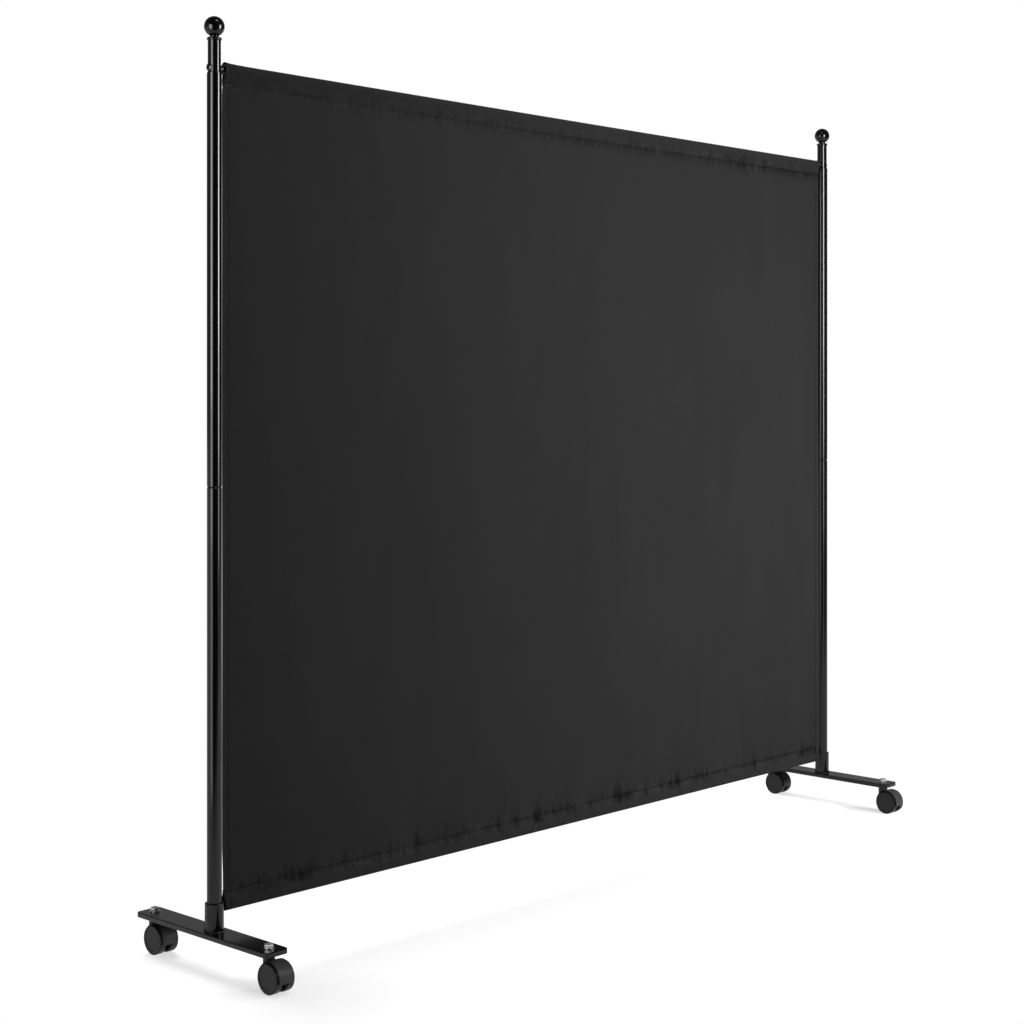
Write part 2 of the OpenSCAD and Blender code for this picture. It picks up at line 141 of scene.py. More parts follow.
class PARTITION_PG_cloth(bpy.types.PropertyGroup):
    """Sizes and finish of the cloth panel"""

    thickness: length("Thickness", 0.45, "Thickness of one layer of cloth")
    column: length("Column width", 4.6, "Width of one column of the cloth's mesh")
    sleeve: length("Sleeve depth", 32.5, "Depth of the sewn sleeves")
    flap: length("Flap", 3, "Cloth beyond the sleeve's seam on the back")
    hem: length("Hem", 11.8, "From a side edge to its row of stitches")
    groove: length("Groove", 0.3, "Depth of the rows of stitches in the cloth")
    fold: length("Fold depth", 5, "Depth of the main folds")
    fold_count: count("Folds", 4, "Number of main folds across the cloth", 1, 9)
    fold_lean: number("Fold lean", math.radians(40), "Shift of the folds from top to bottom", subtype="ANGLE")
    left_bow: length("Left bow", 5.4, "How far the left edge bows out to its post")
    right_bow: length("Right bow", 1.2, "How far the right edge bows out to its post")
    corner_pull: length("Corner pull", 2.6, "How far the top left corner is drawn up")
    pucker_top: length("Top pucker", 0.7, "Depth of the puckers at the top seam")
    pucker_bottom: length("Bottom pucker", 1.3, "Depth of the puckers at the bottom seam")
    stitch: length("Stitch", 3.15, "Length of one stitch")
    thread: length("Thread", 0.4, "Diameter of the sewing thread")
    tint: colour("Cloth colour", (0.0118, 0.0118, 0.0119), "Colour of the cloth")
    thread_tint: colour("Thread colour", (0.012, 0.012, 0.013), "Colour of the sewing thread")


class PARTITION_PG_frame(bpy.types.PropertyGroup):
    """Sizes and finish of the posts, feet and casters"""

    wall: length("Post wall", 1.4, "Wall of the post tubes")
    joint: length("Joint", 1.15, "Depth of the groove where the post tubes meet")
    cone: length("Upper rim", 1.3, "Height of the cone at the upper tube's rim")
    ball: length("Ball", 34.5, "Diameter of the finial's ball")
    neck: length("Neck", 14, "Diameter of the finial's neck")
    collar_height: length("Collar", 5, "Height of the finial's collar")
    sink: length("Ball sink", 1.8, "How far the ball sits down on its neck")
    plate_corner: length("Plate corner", 7, "Radius of the foot plates' corners")
    plate_edge: length("Plate edge", 1.5, "Rounding of the foot plates' edges")
    socket_rim: length("Socket rim", 3, "Radius of the sockets' rounded rim")
    weld: length("Weld", 2.4, "Radius of the weld bead")
    nut_cut: length("Nut cut", 2.4, "How much lower the nuts are than in the solids")
    stem_show: length("Stem show", 1, "How far the stems stand above their nuts")
    hood_wall: length("Hood wall", 1.6, "Wall of the caster hoods")
    hood_lift: length("Hood lift", 5, "How much higher the hoods' trailing edge is than in the solids")
    wheel_dish: length("Wheel dish", 0.8, "Depth of the dish in the wheels' face")
    sides: count("Sides", 96, "Sides of the turned pieces", 24, 256)
    paint: colour("Paint", (0.0032, 0.0032, 0.0034), "Colour of the gloss black posts")
    plate_paint: colour("Foot paint", (0.0028, 0.0028, 0.003), "Colour of the feet")
    zinc: colour("Zinc", (0.72, 0.73, 0.74), "Colour of the plated nuts and washers")
    nylon: colour("Nylon", (0.026, 0.026, 0.0275), "Colour of the caster hoods")
    wheel: colour("Wheel", (0.02, 0.02, 0.0212), "Colour of the wheels")


class PARTITION_PG_stage(bpy.types.PropertyGroup):
    """Camera, floor and light"""

    eye: three("Camera place", (-2.80763, -2.4938, 0.96467), "Place of the camera", subtype="TRANSLATION")
    heading: number("Camera heading", 0.75777, "Heading of the level camera, from +X to +Y", subtype="ANGLE")
    lens: number("Lens", 65.013, "Focal length on a 36 mm sensor", unit="CAMERA")
    shift_side: number("Side shift", -0.0008, "Sideways shift of the level camera")
    shift: number("Shift", -0.11373, "Vertical shift of the level camera")
    floor: colour("Floor", (0.9, 0.9, 0.9), "Colour of the floor")
    ambient: number("Ambient", 0.14, "Strength of the light from all round", min=0)


SETTINGS = {
    "partition_cloth": PARTITION_PG_cloth,
    "partition_frame": PARTITION_PG_frame,
    "partition_stage": PARTITION_PG_stage,
}


# ---- Shader nodes ----


def joined(operation, swapped=False):
    """A method that joins a wire and another value in a Math node."""

    def method(self, other):
        return self.maths(operation, *((other, self) if swapped else (self, other)))

    return method


class Wire:
    """One output socket. Sums, products and powers written with it add their Math nodes."""

    def __init__(self, shader, socket):
        self.shader, self.socket = shader, socket

    def maths(self, operation, *values, **settings):
        """The output of a Math node that is fed with the values."""
        return self.shader.add("Math", dict(enumerate(values)), {"operation": operation, **settings})

    __add__, __radd__ = joined("ADD"), joined("ADD", True)
    __sub__, __rsub__ = joined("SUBTRACT"), joined("SUBTRACT", True)
    __mul__, __rmul__ = joined("MULTIPLY"), joined("MULTIPLY", True)
    __truediv__, __pow__ = joined("DIVIDE"), joined("POWER")

    def __abs__(self):
        return self.maths("ABSOLUTE", self)

    def sine(self):
        """The sine of the value."""
        return self.maths("SINE", self)

    def kept(self):
        """The value held between 0 and 1."""
        return self.maths("ADD", self, 0.0, use_clamp=True)

    def output(self, name):
        """Another output of the same node."""
        return Wire(self.shader, self.socket.node.outputs[name])


class Shader:
    """A material or world under construction."""

    def __init__(self, tree):
        self.tree = tree
        self.tree.nodes.clear()

    def add(self, kind, values=None, settings=None, output=0):
        """One node: its settings are set first, then numbers or wires go to its inputs."""
        node = self.tree.nodes.new("ShaderNode" + kind)
        for name, value in (settings or {}).items():
            setattr(node, name, value)
        for name, value in (values or {}).items():
            socket = node.inputs[name]
            if isinstance(value, Wire):
                self.tree.links.new(value.socket, socket)
            elif socket.type == "RGBA":
                socket.default_value = (*value, 1)
            else:
                socket.default_value = value
        return Wire(self, node.outputs[output]) if node.outputs else None

    def place(self, stretch=(1, 1, 1), source="Object"):
        """The surface's own coordinates, stretched."""
        return self.add("Mapping", {"Vector": self.add("TexCoord", output=source), "Scale": stretch})

    def noise(self, size, detail=2.0, rough=0.5, stretch=(1, 1, 1), source="Object"):
        """Noise of a size in metres, about 0.5 on average."""
        where = self.place(tuple(share / size for share in stretch), source)
        return self.add("TexNoise", {"Vector": where, "Scale": 1.0, "Detail": detail, "Roughness": rough})

    def mark(self, name):
        """A named value of the piece's points."""
        return self.add("Attribute", settings={"attribute_name": name}, output=2)

    def mix(self, factor, first, second):
        """Two colours mixed by a factor."""
        return self.add("Mix", {0: factor, 6: first, 7: second}, {"data_type": "RGBA"}, output=2)

    def bump(self, height, depth):
        """The normal of a relief of that depth in metres."""
        return self.add("Bump", {"Height": height, "Distance": depth, "Strength": 1.0})

    def surface(self, values):
        """Joins a Principled shader with those inputs to the output."""
        self.finish(self.add("BsdfPrincipled", values))

    def finish(self, surface, kind="OutputMaterial"):
        """Joins the shader to the output."""
        self.add(kind, {"Surface": surface})


def new_material(name):
    """An empty material and its shader."""
    material = bpy.data.materials.new(name)
    material.use_nodes = True
    return material, Shader(material.node_tree)


def shade(tone, amount):
    """A colour made lighter or darker by a share."""
    return tuple(channel * (1 + amount) for channel in tone)


def chosen(name, group="partition_frame"):
    """A colour of the settings."""
    return tuple(getattr(getattr(bpy.context.scene, group), name))


DRIFT = 0.12  # share by which a finish wanders about its tone and roughness


def plain_finish(name, tone, rough, depth, size, fixed=None):
    """A finish whose tone and roughness drift a little, over a grain given in millimetres."""
    material, shader = new_material(name)
    drift = shader.noise(60 * MM, 3.0)
    shader.surface({
        "Base Color": shader.mix(drift, shade(tone, -DRIFT), shade(tone, DRIFT)),
        "Roughness": rough * (1 - DRIFT) + drift * (2 * DRIFT * rough),
        "Normal": shader.bump(shader.noise(size * MM), depth * MM),
        **(fixed or {}),
    })
    return material


def moulded(name, tone, rough, mark, dark, size):
    """Moulded black plastic with painted shade, darker where a mark of the piece says so."""
    material, shader = new_material(name)
    cloud = shader.noise(6 * MM)
    base = shader.mix(cloud, shade(tone, -DRIFT), shade(tone, DRIFT))
    shader.surface({
        "Base Color": shader.mix(shader.mark(mark).kept(), base, shade(tone, dark)),
        "Roughness": rough + 0.1 * cloud,
        "Specular IOR Level": 0.3,
        "Normal": shader.bump(shader.noise(size * MM), 0.02 * MM),
    })
    return material


def rod_steel():
    """Drawn steel of the rods, joiners and axles, with fine lines along it."""
    material, shader = new_material("drawn_steel")
    lines = shader.noise(1 * MM, 3.0, stretch=(0.02, 1, 1))
    shader.surface({
        "Base Color": shader.mix(lines, (0.28, 0.28, 0.29), (0.46, 0.46, 0.47)),
        "Metallic": 1.0,
        "Roughness": 0.3 + lines * 0.15,
        "Normal": shader.bump(lines, 0.02 * MM),
    })
    return material


def cloth_weave():
    """Black plain weave: crossing threads, slubs and faint upright streaks, with painted shade in its
    creases.
    """
    tone = chosen("tint", "partition_cloth")
    material, shader = new_material("black_weave")

    def noise(size, detail, rough=0.5, across=1, along=1):
        """Noise of a size in millimetres on the flat cloth, drawn out where a share is below 1."""
        return shader.noise(size * MM, detail, rough, (across, along, 1), "UV")

    across = shader.add("SeparateXYZ", {0: shader.place(source="UV")})
    along = across.output(1)
    pitch = 0.62 * MM
    warp, weft = (abs((way * (TURN / pitch)).sine()) for way in (across, along))
    over = (across * (math.pi / pitch)).sine() * (along * (math.pi / pitch)).sine()
    threads = (over * 0.35 + warp * 0.3 + weft * 0.3).kept()
    slub, slub_across = noise(2.2, 2.0, along=0.16), noise(2.2, 2.0, across=0.16)
    streak = noise(55, 3.0, 0.55, along=0.22)
    mottle = noise(9, 3.0, 0.6)
    lightness = (0.30 * threads + 0.26 * slub + 0.20 * slub_across + 0.22 * streak + 0.12 * mottle).kept()
    crease, rise, gather = (shader.mark(name) for name in ("crease", "rise", "gather"))
    tuck = noise(5.5, 2.0, 0.6, along=0.16) - 0.5
    # The first mark is painted shade in creases, along the bottom edge and along the rows of stitches; this
    # noise breaks its dark lines up
    broken = (1.6 * noise(3.5, 1.0, along=0.4) - 0.2).kept()
    # Painted light and shade: the colour is lighter on the puckers' crests and darker in their hollows,
    # lighter and darker along the tucks near the seams, and darker where the first mark says
    lightness = (lightness + 0.6 * rise + 1.2 * tuck * gather - 0.5 * crease * broken).kept()
    relief = threads * 0.2 + slub * 0.16 + slub_across * 0.12 + tuck * gather * 7
    shader.surface({
        "Base Color": shader.mix(lightness, shade(tone, -0.85), shade(tone, 0.85)),
        "Roughness": 0.78 + 0.12 * mottle,
        "Specular IOR Level": 0.08,
        "Sheen Weight": 0.03,
        "Sheen Roughness": 0.45,
        "Sheen Tint": (0.95, 0.95, 1.0),
        "Normal": shader.bump(relief, 0.26 * MM),
    })
    return material


LESS_SHINE = {"Specular IOR Level": 0.4}
# How each material is made: name, colour and roughness, then for a plain finish the depth and size
# of its grain in millimetres, and for a moulded one the mark where shade is painted on, how its colour
# changes there and the size of its grain
MAKERS = {
    "gloss": lambda: plain_finish("gloss_black_paint", chosen("paint"), 0.13, 0.0012, 3, LESS_SHINE),
    "foot": lambda: plain_finish("foot_black_paint", chosen("plate_paint"), 0.2, 0.002, 3, LESS_SHINE),
    "zinc": lambda: plain_finish("zinc_plating", chosen("zinc"), 0.22, 0.01, 1.2, {"Metallic": 0.85}),
    "dull": lambda: plain_finish(
        "black_zinc", shade(chosen("zinc"), -0.96), 0.38, 0.01, 1.2, {"Metallic": 0.8}
    ),
    "plug": lambda: plain_finish("plug_plastic", (0.012, 0.012, 0.013), 0.3, 0.02, 1),
    "oxide": lambda: plain_finish("black_oxide", (0.008, 0.008, 0.009), 0.22, 0.01, 1),
    "thread": lambda: plain_finish(
        "sewing_thread", chosen("thread_tint", "partition_cloth"), 0.55, 0.05, 0.4
    ),
    "hood": lambda: moulded("hood_nylon", chosen("nylon"), 0.4, "rim", -0.75, 0.7),
    "wheel": lambda: moulded("wheel_nylon", chosen("wheel"), 0.38, "tyre", -0.85, 0.9),
    "steel": rod_steel,
    "cloth": cloth_weave,
}
# The materials made so far, by the name of their finish
materials = {}


def finish_named(name):
    """The material of that name, made on its first use."""
    if name not in materials:
        materials[name] = MAKERS[name]()
    return materials[name]


# ---- Shapes ----


def grid_shell(points, wrap_rows=False, wrap_columns=False):
    """Neighbouring points of a grid joined by four-sided faces."""
    rows, columns = points.shape[:2]
    index = np.arange(rows * columns).reshape(rows, columns)
    if wrap_rows:
        index = np.vstack([index, index[:1]])
    if wrap_columns:
        index = np.hstack([index, index[:, :1]])
    quads = np.stack([index[:-1, :-1], index[1:, :-1], index[1:, 1:], index[:-1, 1:]], -1)
    return points.reshape(-1, 3), [tuple(quad) for quad in quads.reshape(-1, 4).tolist()]


def capped(points):
    """Rings stacked into a closed solid: the first and last ring are filled with one face."""
    verts, faces = grid_shell(points, False, True)
    rings, size = points.shape[:2]
    last = (rings - 1) * size
    return verts, faces + [tuple(range(size)), tuple(range(last + size - 1, last - 1, -1))]


def oblong(left, right, bottom, top):
    """The four corners of a rectangle."""
    return [(left, bottom), (right, bottom), (right, top), (left, top)]


def rounded(corners, radii, steps=5):
    """An outline whose corners are swapped for arcs, of radii in millimetres, that touch both sides.

    With h half the angle between the sides, an arc of radius r starts r / tan h from the corner
    and its centre lies r / sin h from it on the bisector; points between are turned evenly."""
    p = np.asarray(corners, float)
    r = np.broadcast_to(np.asarray(radii, float), len(p))[:, None] * MM
    before, after = np.roll(p, 1, 0) - p, np.roll(p, -1, 0) - p
    len_before, len_after = (np.linalg.norm(side, axis=1, keepdims=True) for side in (before, after))
    before, after = before / len_before, after / len_after
    angle = np.arccos(np.clip((before * after).sum(1, keepdims=True), -1, 1)) / 2
    angle = np.clip(angle, 1e-3, math.pi / 2 - 1e-3)
    reach = np.minimum(r / np.tan(angle), 0.499 * np.minimum(len_before, len_after))
    bisector = before + after
    bisector /= np.maximum(np.linalg.norm(bisector, axis=1, keepdims=True), 1e-9)
    centre = p + bisector * reach / np.cos(angle)
    start, end = p + before * reach - centre, p + after * reach - centre
    sweep = math.pi - 2 * angle
    t = np.linspace(0, 1, steps + 1)[None]
    a, b = ((np.sin(share * sweep) / np.sin(sweep))[..., None] for share in (1 - t, t))
    return (centre[:, None] + a * start[:, None] + b * end[:, None]).reshape(-1, 2)


def share_out(size):
    """For parts of those sizes: which part each point belongs to, and its number in it."""
    which = np.repeat(np.arange(len(size)), size)
    return which, np.arange(len(which)) - np.repeat(np.cumsum(size) - size, size)


def held(profile, closed):
    """A profile with a point added near both ends of each long side.

    The extra points hold the shading of flat and straight sides apart from their round edges."""
    start, gap = np.asarray(profile, float), 0.25 * MM
    side = np.roll(start, -1, 0) - start
    reach = np.linalg.norm(side, axis=1)
    parts = np.where(reach > 4 * gap, 3, 1)
    if not closed:
        parts[-1] = 1
    which, step = share_out(parts)
    t = np.where(step == 0, 0, np.where(step == 1, gap, reach[which] - gap)) / np.maximum(reach[which], 1e-12)
    return start[which] + t[:, None] * side[which]


def fill_in(outline, gap):
    """A closed outline with points added so that none are further apart than a gap."""
    side = np.roll(outline, -1, 0) - outline
    parts = np.maximum(1, np.ceil(np.linalg.norm(side, axis=1) / gap)).astype(int)
    which, step = share_out(parts)
    return outline[which] + (step / parts[which])[:, None] * side[which]


def angles(steps):
    """A full turn in equal steps, as a column."""
    return np.linspace(0, TURN, steps, endpoint=False)[:, None]


def turned(a, rings, at, closed=False, axis="z"):
    """Rings about an axis at angles a, of radius r and height h: (r cos a, r sin a, h).

    Rings are pairs of r and h, as numbers or as arrays over the angles and over several rings."""
    pairs = [np.broadcast_arrays(r, h, a)[:2] for r, h in rings]
    r, h = (np.concatenate(parts, 1) for parts in zip(*pairs))
    points = np.stack([r * np.cos(a), r * np.sin(a), h], -1)
    if axis == "x":
        points = points[..., [2, 0, 1]]
    return grid_shell(points + np.asarray(at), True, closed)


def lathe(profile, at, sides, axis="z", closed=False):
    """A profile of radius and height turned about an axis."""
    r, h = held(profile, closed).T
    return turned(angles(sides), [(r[None], h[None])], at, closed, axis)


def hexagon(a, flat):
    """Radius of a hexagon at angles a: half its width over the cosine of a within each sixth."""
    return flat / np.cos(np.mod(a + math.pi / 6, math.pi / 3) - math.pi / 6)


def new_mesh(name, shells):
    """A mesh made of shells."""
    verts, faces, start = [], [], 0
    for points, shell_faces in shells:
        verts.append(points)
        faces += [tuple(start + i for i in face) for face in shell_faces]
        start += len(points)
    mesh = bpy.data.meshes.new(name)
    mesh.from_pydata(np.concatenate(verts).tolist(), [], faces)
    return mesh


def clean(mesh):
    """Merges a mesh's doubled points and turns its faces outwards."""
    work = bmesh.new()
    work.from_mesh(mesh)
    bmesh.ops.remove_doubles(work, verts=work.verts, dist=1e-7)
    bmesh.ops.dissolve_degenerate(work, edges=work.edges, dist=1e-8)
    bmesh.ops.recalc_face_normals(work, faces=work.faces)
    work.to_mesh(mesh)
    work.free()


def show(name, data):
    """A new object in the scene."""
    made = bpy.data.objects.new(name, data)
    bpy.context.scene.collection.objects.link(made)
    return made


def piece(name, shells, finish, replaces=None, angle=35, body="stand", uv=None, marks=None):
    """A named piece from closed shells, which may stand for a solid of that name.

    Marks are named values of its points, which its finish can read."""
    mesh = new_mesh(name, shells)
    if uv is not None:
        corner = np.empty(len(mesh.loops), np.int32)
        mesh.loops.foreach_get("vertex_index", corner)
        layer = mesh.uv_layers.new(name="UVMap")
        layer.data.foreach_set("uv", uv[corner].astype(np.float32).ravel())
    for mark, values in (marks or {}).items():
        layer = mesh.attributes.new(mark, "FLOAT", "POINT")
        layer.data.foreach_set("value", np.asarray(values, np.float32).ravel())
    clean(mesh)
    mesh.shade_smooth()
    mesh.set_sharp_from_angle(angle=math.radians(angle))
    mesh.materials.append(finish_named(finish))
    made = show(name, mesh)
    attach(made, body)
    if replaces:
        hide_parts(replaces)
    return made


def tube(name, corners, radii, at, finish, node, steps=5):
    """A piece turned about an upright axis from a closed outline."""
    sides = bpy.context.scene.partition_frame.sides
    return piece(name, [lathe(rounded(corners, radii, steps), at, sides, closed=True)], finish, node)


def drill(made, start, radius, reach):
    """Takes a round hole along X out of a piece."""
    mesh = new_mesh("drill", [lathe(oblong(0, radius, 0, reach), start, 48, "x")])
    clean(mesh)
    cutter = show("drill", mesh)
    hole = made.modifiers.new("hole", "BOOLEAN")
    hole.operation, hole.solver, hole.object = "DIFFERENCE", "EXACT", cutter
    evaluated = made.evaluated_get(bpy.context.evaluated_depsgraph_get())
    result = bpy.data.meshes.new_from_object(evaluated)
    made.modifiers.clear()
    made.data = result
    result.set_sharp_from_angle(angle=math.radians(35))
    bpy.data.objects.remove(cutter)


def dress(node, finish):
    """Gives a solid that stays its finish."""
    mesh = frame["nodes"][node].data
    mesh.materials.clear()
    mesh.materials.append(finish_named(finish))


def smooth(t):
    """A step from 0 to 1 that is level at both ends: 3 t^2 - 2 t^3."""
    return t * t * (3 - 2 * t)


def bell(away, reach):
    """1 at 0, falling off on both sides: e to the power of minus the square of away / reach."""
    return np.exp(-((away / reach) ** 2))


def bend_noise(values, seed, size=4096):
    """Smooth noise along a line: random heights at whole numbers, joined by a smooth step."""
    heights = np.random.default_rng(seed).uniform(-1, 1, size)
    whole = np.floor(values).astype(int)
    t = smooth(values - whole)
    return heights[whole % size] * (1 - t) + heights[(whole + 1) % size] * t


def field_noise(x, z, seed, size=512):
    """Smooth noise over a plane: random heights on whole numbers, joined by smooth steps."""
    heights = np.random.default_rng(seed).uniform(-1, 1, (size, size))
    i, j = np.floor(x).astype(int), np.floor(z).astype(int)
    s, t = smooth(x - i), smooth(z - j)
    rows = (heights[i % size, k % size] * (1 - s) + heights[(i + 1) % size, k % size] * s for k in (j, j + 1))
    first, second = rows
    return first * (1 - t) + second * t


# ---- Cloth ----

FACE = 1.1 * MM  # from the panel's plane to the outer face of its sheet
SEAM_ROWS = (0, 2.6 * MM)  # places of a seam's two rows of stitches
LINE = 1.3 * MM  # reach of the groove along a row of stitches
SEWN = 0.84  # share of a stitch's length that shows


class Panel:
    """Places of the cloth panel: where its rods, seams and edges lie."""

    def __init__(self):
        self.cloth = cloth = bpy.context.scene.partition_cloth
        self.half_width = half("cloth_panel")[0]
        self.top, self.bottom = high("cloth_panel")[2], low("cloth_panel")[2]
        self.rod = half(RODS[0])[2]
        self.loop_radius = self.top - TOP_ROD - cloth.thickness / 2
        self.top_seam = self.top - cloth.sleeve
        self.bottom_seam = self.bottom + cloth.sleeve
        self.layer = FACE - cloth.thickness / 2

    def path(self):
        """The cloth's middle line across the panel, as y and z.

        It runs up the flap behind the top seam, over the top rod, down the sheet, under the
        bottom rod and up the flap behind the bottom seam."""
        cloth, r, e = self.cloth, self.loop_radius, self.layer

        def loop(centre_seam, centre_loop, seam, sign):
            """Half a turn round a rod, between the places where the cloth leaves it for the seam."""
            leave = math.asin((r - e) / abs(centre_seam - seam))
            a = np.linspace(0, math.pi, 13)
            y = np.concatenate([[r * math.cos(leave)], r * np.cos(a), [-r * math.cos(leave)]])
            end = centre_seam - sign * r * math.sin(leave)
            return y, np.concatenate([[end], centre_loop + sign * r * np.sin(a), [end]])

        sleeve = np.array([0.0, 0.035, 0.07, 0.14, 0.25, 0.4, 0.6, 0.8])

        def leg(seam, loop_y, loop_z):
            """From the seam's side at y = e to where the loop leaves the rod."""
            y = e + (abs(loop_y) - e) * (0.75 * sleeve + 0.25 * sleeve**2)
            return y, seam + (loop_z - seam) * sleeve

        top_y, top_z = loop(TOP_ROD, TOP_ROD, self.top_seam, 1)
        low_y, low_z = loop(BOTTOM_ROD, self.bottom + cloth.thickness / 2 + r, self.bottom_seam, -1)
        near = np.array([0, 0.7, 1.4, 2.1, 3.0, 4.2, 6, 8, 10.5, 13.5, 17, 21, 26, 32, 40]) * MM
        between = np.linspace(self.top_seam - near[-1], self.bottom_seam + near[-1], 32)[1:-1]
        sheet = np.concatenate([self.top_seam - near, between, (self.bottom_seam + near)[::-1]])
        up_y, up_z = leg(self.top_seam, top_y[0], top_z[0])
        down_y, down_z = leg(self.bottom_seam, low_y[0], low_z[0])
        y = [[e, e], up_y, top_y, -up_y[:0:-1], np.full(len(sheet), -e), -down_y[1:],
             -low_y, down_y[::-1], [e, e]]
        z = [self.top_seam - cloth.flap * np.array([1, 0.5]), up_z, top_z, up_z[:0:-1], sheet, down_z[1:],
             low_z, down_z[::-1], self.bottom_seam + cloth.flap * np.array([0.5, 1])]
        return np.concatenate(y), np.concatenate(z)

    def edge(self, z, side):
        """Half the cloth's width at a height: its sides bow out, and draw in at the bottom."""
        s = (self.top - z) / (self.top - self.bottom)
        places = [0, 0.0125, 0.02, 0.032, 0.06, 0.2, 0.35, 0.5, 0.65, 0.8, 0.925, 0.955, 0.975, 1]
        shares = [-0.05, 0.0, 0.6, 0.9, 0.93, 0.87, 0.84, 0.83, 0.83, 0.89, 0.88, 0.6, 0.52, 0.0]
        reach = np.where(np.asarray(side) < 0, self.cloth.left_bow, self.cloth.right_bow)
        return self.half_width + reach * np.interp(s, places, shares)

    def corner_pull(self, x, z):
        """How far the top sleeve is drawn up over its rod: nothing at the seam, most on the left."""
        up = np.clip((z - self.top_seam) / (self.top - self.top_seam), 0, 1)
        along = np.clip((0.35 - x / self.half_width) / 1.35, 0, 1)
        corner = np.exp(-np.clip(x + self.half_width, 0, None) / (14 * MM))
        return self.cloth.corner_pull * up * (along**1.4 + 0.8 * corner)

    def folds(self, x, z):
        """The main folds, and broad unevenness, both fading out towards rods and side edges."""
        cloth = self.cloth
        s = np.clip((self.top_seam - z) / (self.top_seam - self.bottom_seam), 0, 1)
        u = np.clip((x / self.half_width + 1) / 2, 0, 1)
        wave = np.sin(TURN * cloth.fold_count * u - cloth.fold_lean * s)
        broad = 0.6 * MM * field_noise(x / 0.12 + 40, z / 0.5 + 9, 3)
        return np.sin(math.pi * s) * (cloth.fold / 2 * np.sin(math.pi * u) * wave + broad)

    def lift(self, x, z, y):
        """How far the cloth stands forward of its plane at a place, and its stitch lines' depth.

        On top of the folds, puckers are upright noise, a few stitches wide, deepest at the seams
        and fading away from them and round the rods. Deeper tucks lie among them."""
        cloth = self.cloth
        u = (x / self.half_width + 1) / 2
        side = np.where(y > 0, 17.0, 0.0)
        from_top, from_low = self.top_seam - z, z - self.bottom_seam
        off_top_rod = np.clip((TOP_ROD - self.rod - z) / (6 * MM), 0, 1)
        off_low_rod = np.clip((z - BOTTOM_ROD - self.rod) / (6 * MM), 0, 1)

        def puckers(seed, apart):
            """Height of the puckers, -1 to 1, for folds about so many millimetres apart."""
            warp = 2.0 * MM * field_noise(x / 0.02, z / 0.02, seed + 5)
            a = field_noise((x + warp) / (apart * MM) + 60, z / 0.030 + 7, seed)
            b = field_noise((x - warp) / (2.3 * apart * MM) + 90, z / 0.045 + 3, seed + 1)
            c = field_noise(x / (5.5 * apart * MM) + 30, z / 0.06 + 3, seed + 2)
            return 0.42 * a + 0.38 * b + 0.3 * c

        def fade(away, reach, rest):
            """1 at the seam, falling off to nothing on the sheet and to a rest in the sleeve."""
            return np.where(away > 0, np.exp(-away / reach), rest + (1 - rest) * np.exp(away / (5 * MM)))

        def tucks(apart, shift, seed, away, reach):
            """Depth of the deeper tucks, which run on through the sleeve."""
            deep = np.clip(field_noise(x / (apart * MM) + shift, z / 0.09 + 5, seed) - 0.3, 0, 0.7)
            return 1.5 * deep * np.where(away > 0, bell(away, reach), 1)

        more_right, near_right = 0.5 + 0.5 * np.clip(u * 1.3, 0, 1), np.clip(1.3 * u - 0.25, 0, 1)
        middle_most = 0.45 + 0.55 * bell(u - 0.5, 0.33)
        patch = 0.75 + 0.45 * bend_noise(x / 0.09 + 200, 11)
        top = cloth.pucker_top * off_top_rod * (
            fade(from_top, 13 * MM, 0.55) * more_right * patch * puckers(21, 5.0)
            - near_right * tucks(7.5, 77, 43, from_top, 15 * MM)
        )
        bottom = cloth.pucker_bottom * off_low_rod * middle_most * (
            fade(from_low, 15 * MM, 0.75) * patch * puckers(31, 7.0) - tucks(8.5, 17, 41, from_low, 19 * MM)
        )
        free = (np.clip(-away / (9 * MM), 0, 1) * off
                for away, off in ((from_top, off_top_rod), (from_low, off_low_rod)))
        own = field_noise(x / 0.017 + side + 11, z / 0.02 + side, 51)
        sleeve = -np.sign(y) * 0.30 * MM * own * sum(free)
        lines = (bell(away + row, LINE) for away in (from_top, from_low) for row in SEAM_ROWS)
        return self.folds(x, z) + top + bottom + sleeve, cloth.groove * sum(lines)

    def hem_dip(self, x, z):
        """Depth of the hem's stitch line, 0 away from it and beyond the seams."""
        inside = self.edge(z, x) - abs(x)
        below, above = (np.clip(away / (4 * MM), 0, 1) for away in (self.top_seam - z, z - self.bottom_seam))
        return self.cloth.groove * bell(inside - self.cloth.hem, LINE) * below * above

    def front(self, x, z):
        """Y of the sheet's front face at places on it."""
        rise, groove = self.lift(x, z, np.full_like(x, -self.layer))
        return -self.layer - self.cloth.thickness / 2 - rise + groove + self.hem_dip(x, z)

    def back(self, x, z, y):
        """Y of the back face of the layer whose middle line lies at y."""
        rise, groove = self.lift(x, z, np.full_like(x, y))
        return y + self.cloth.thickness / 2 - rise - groove


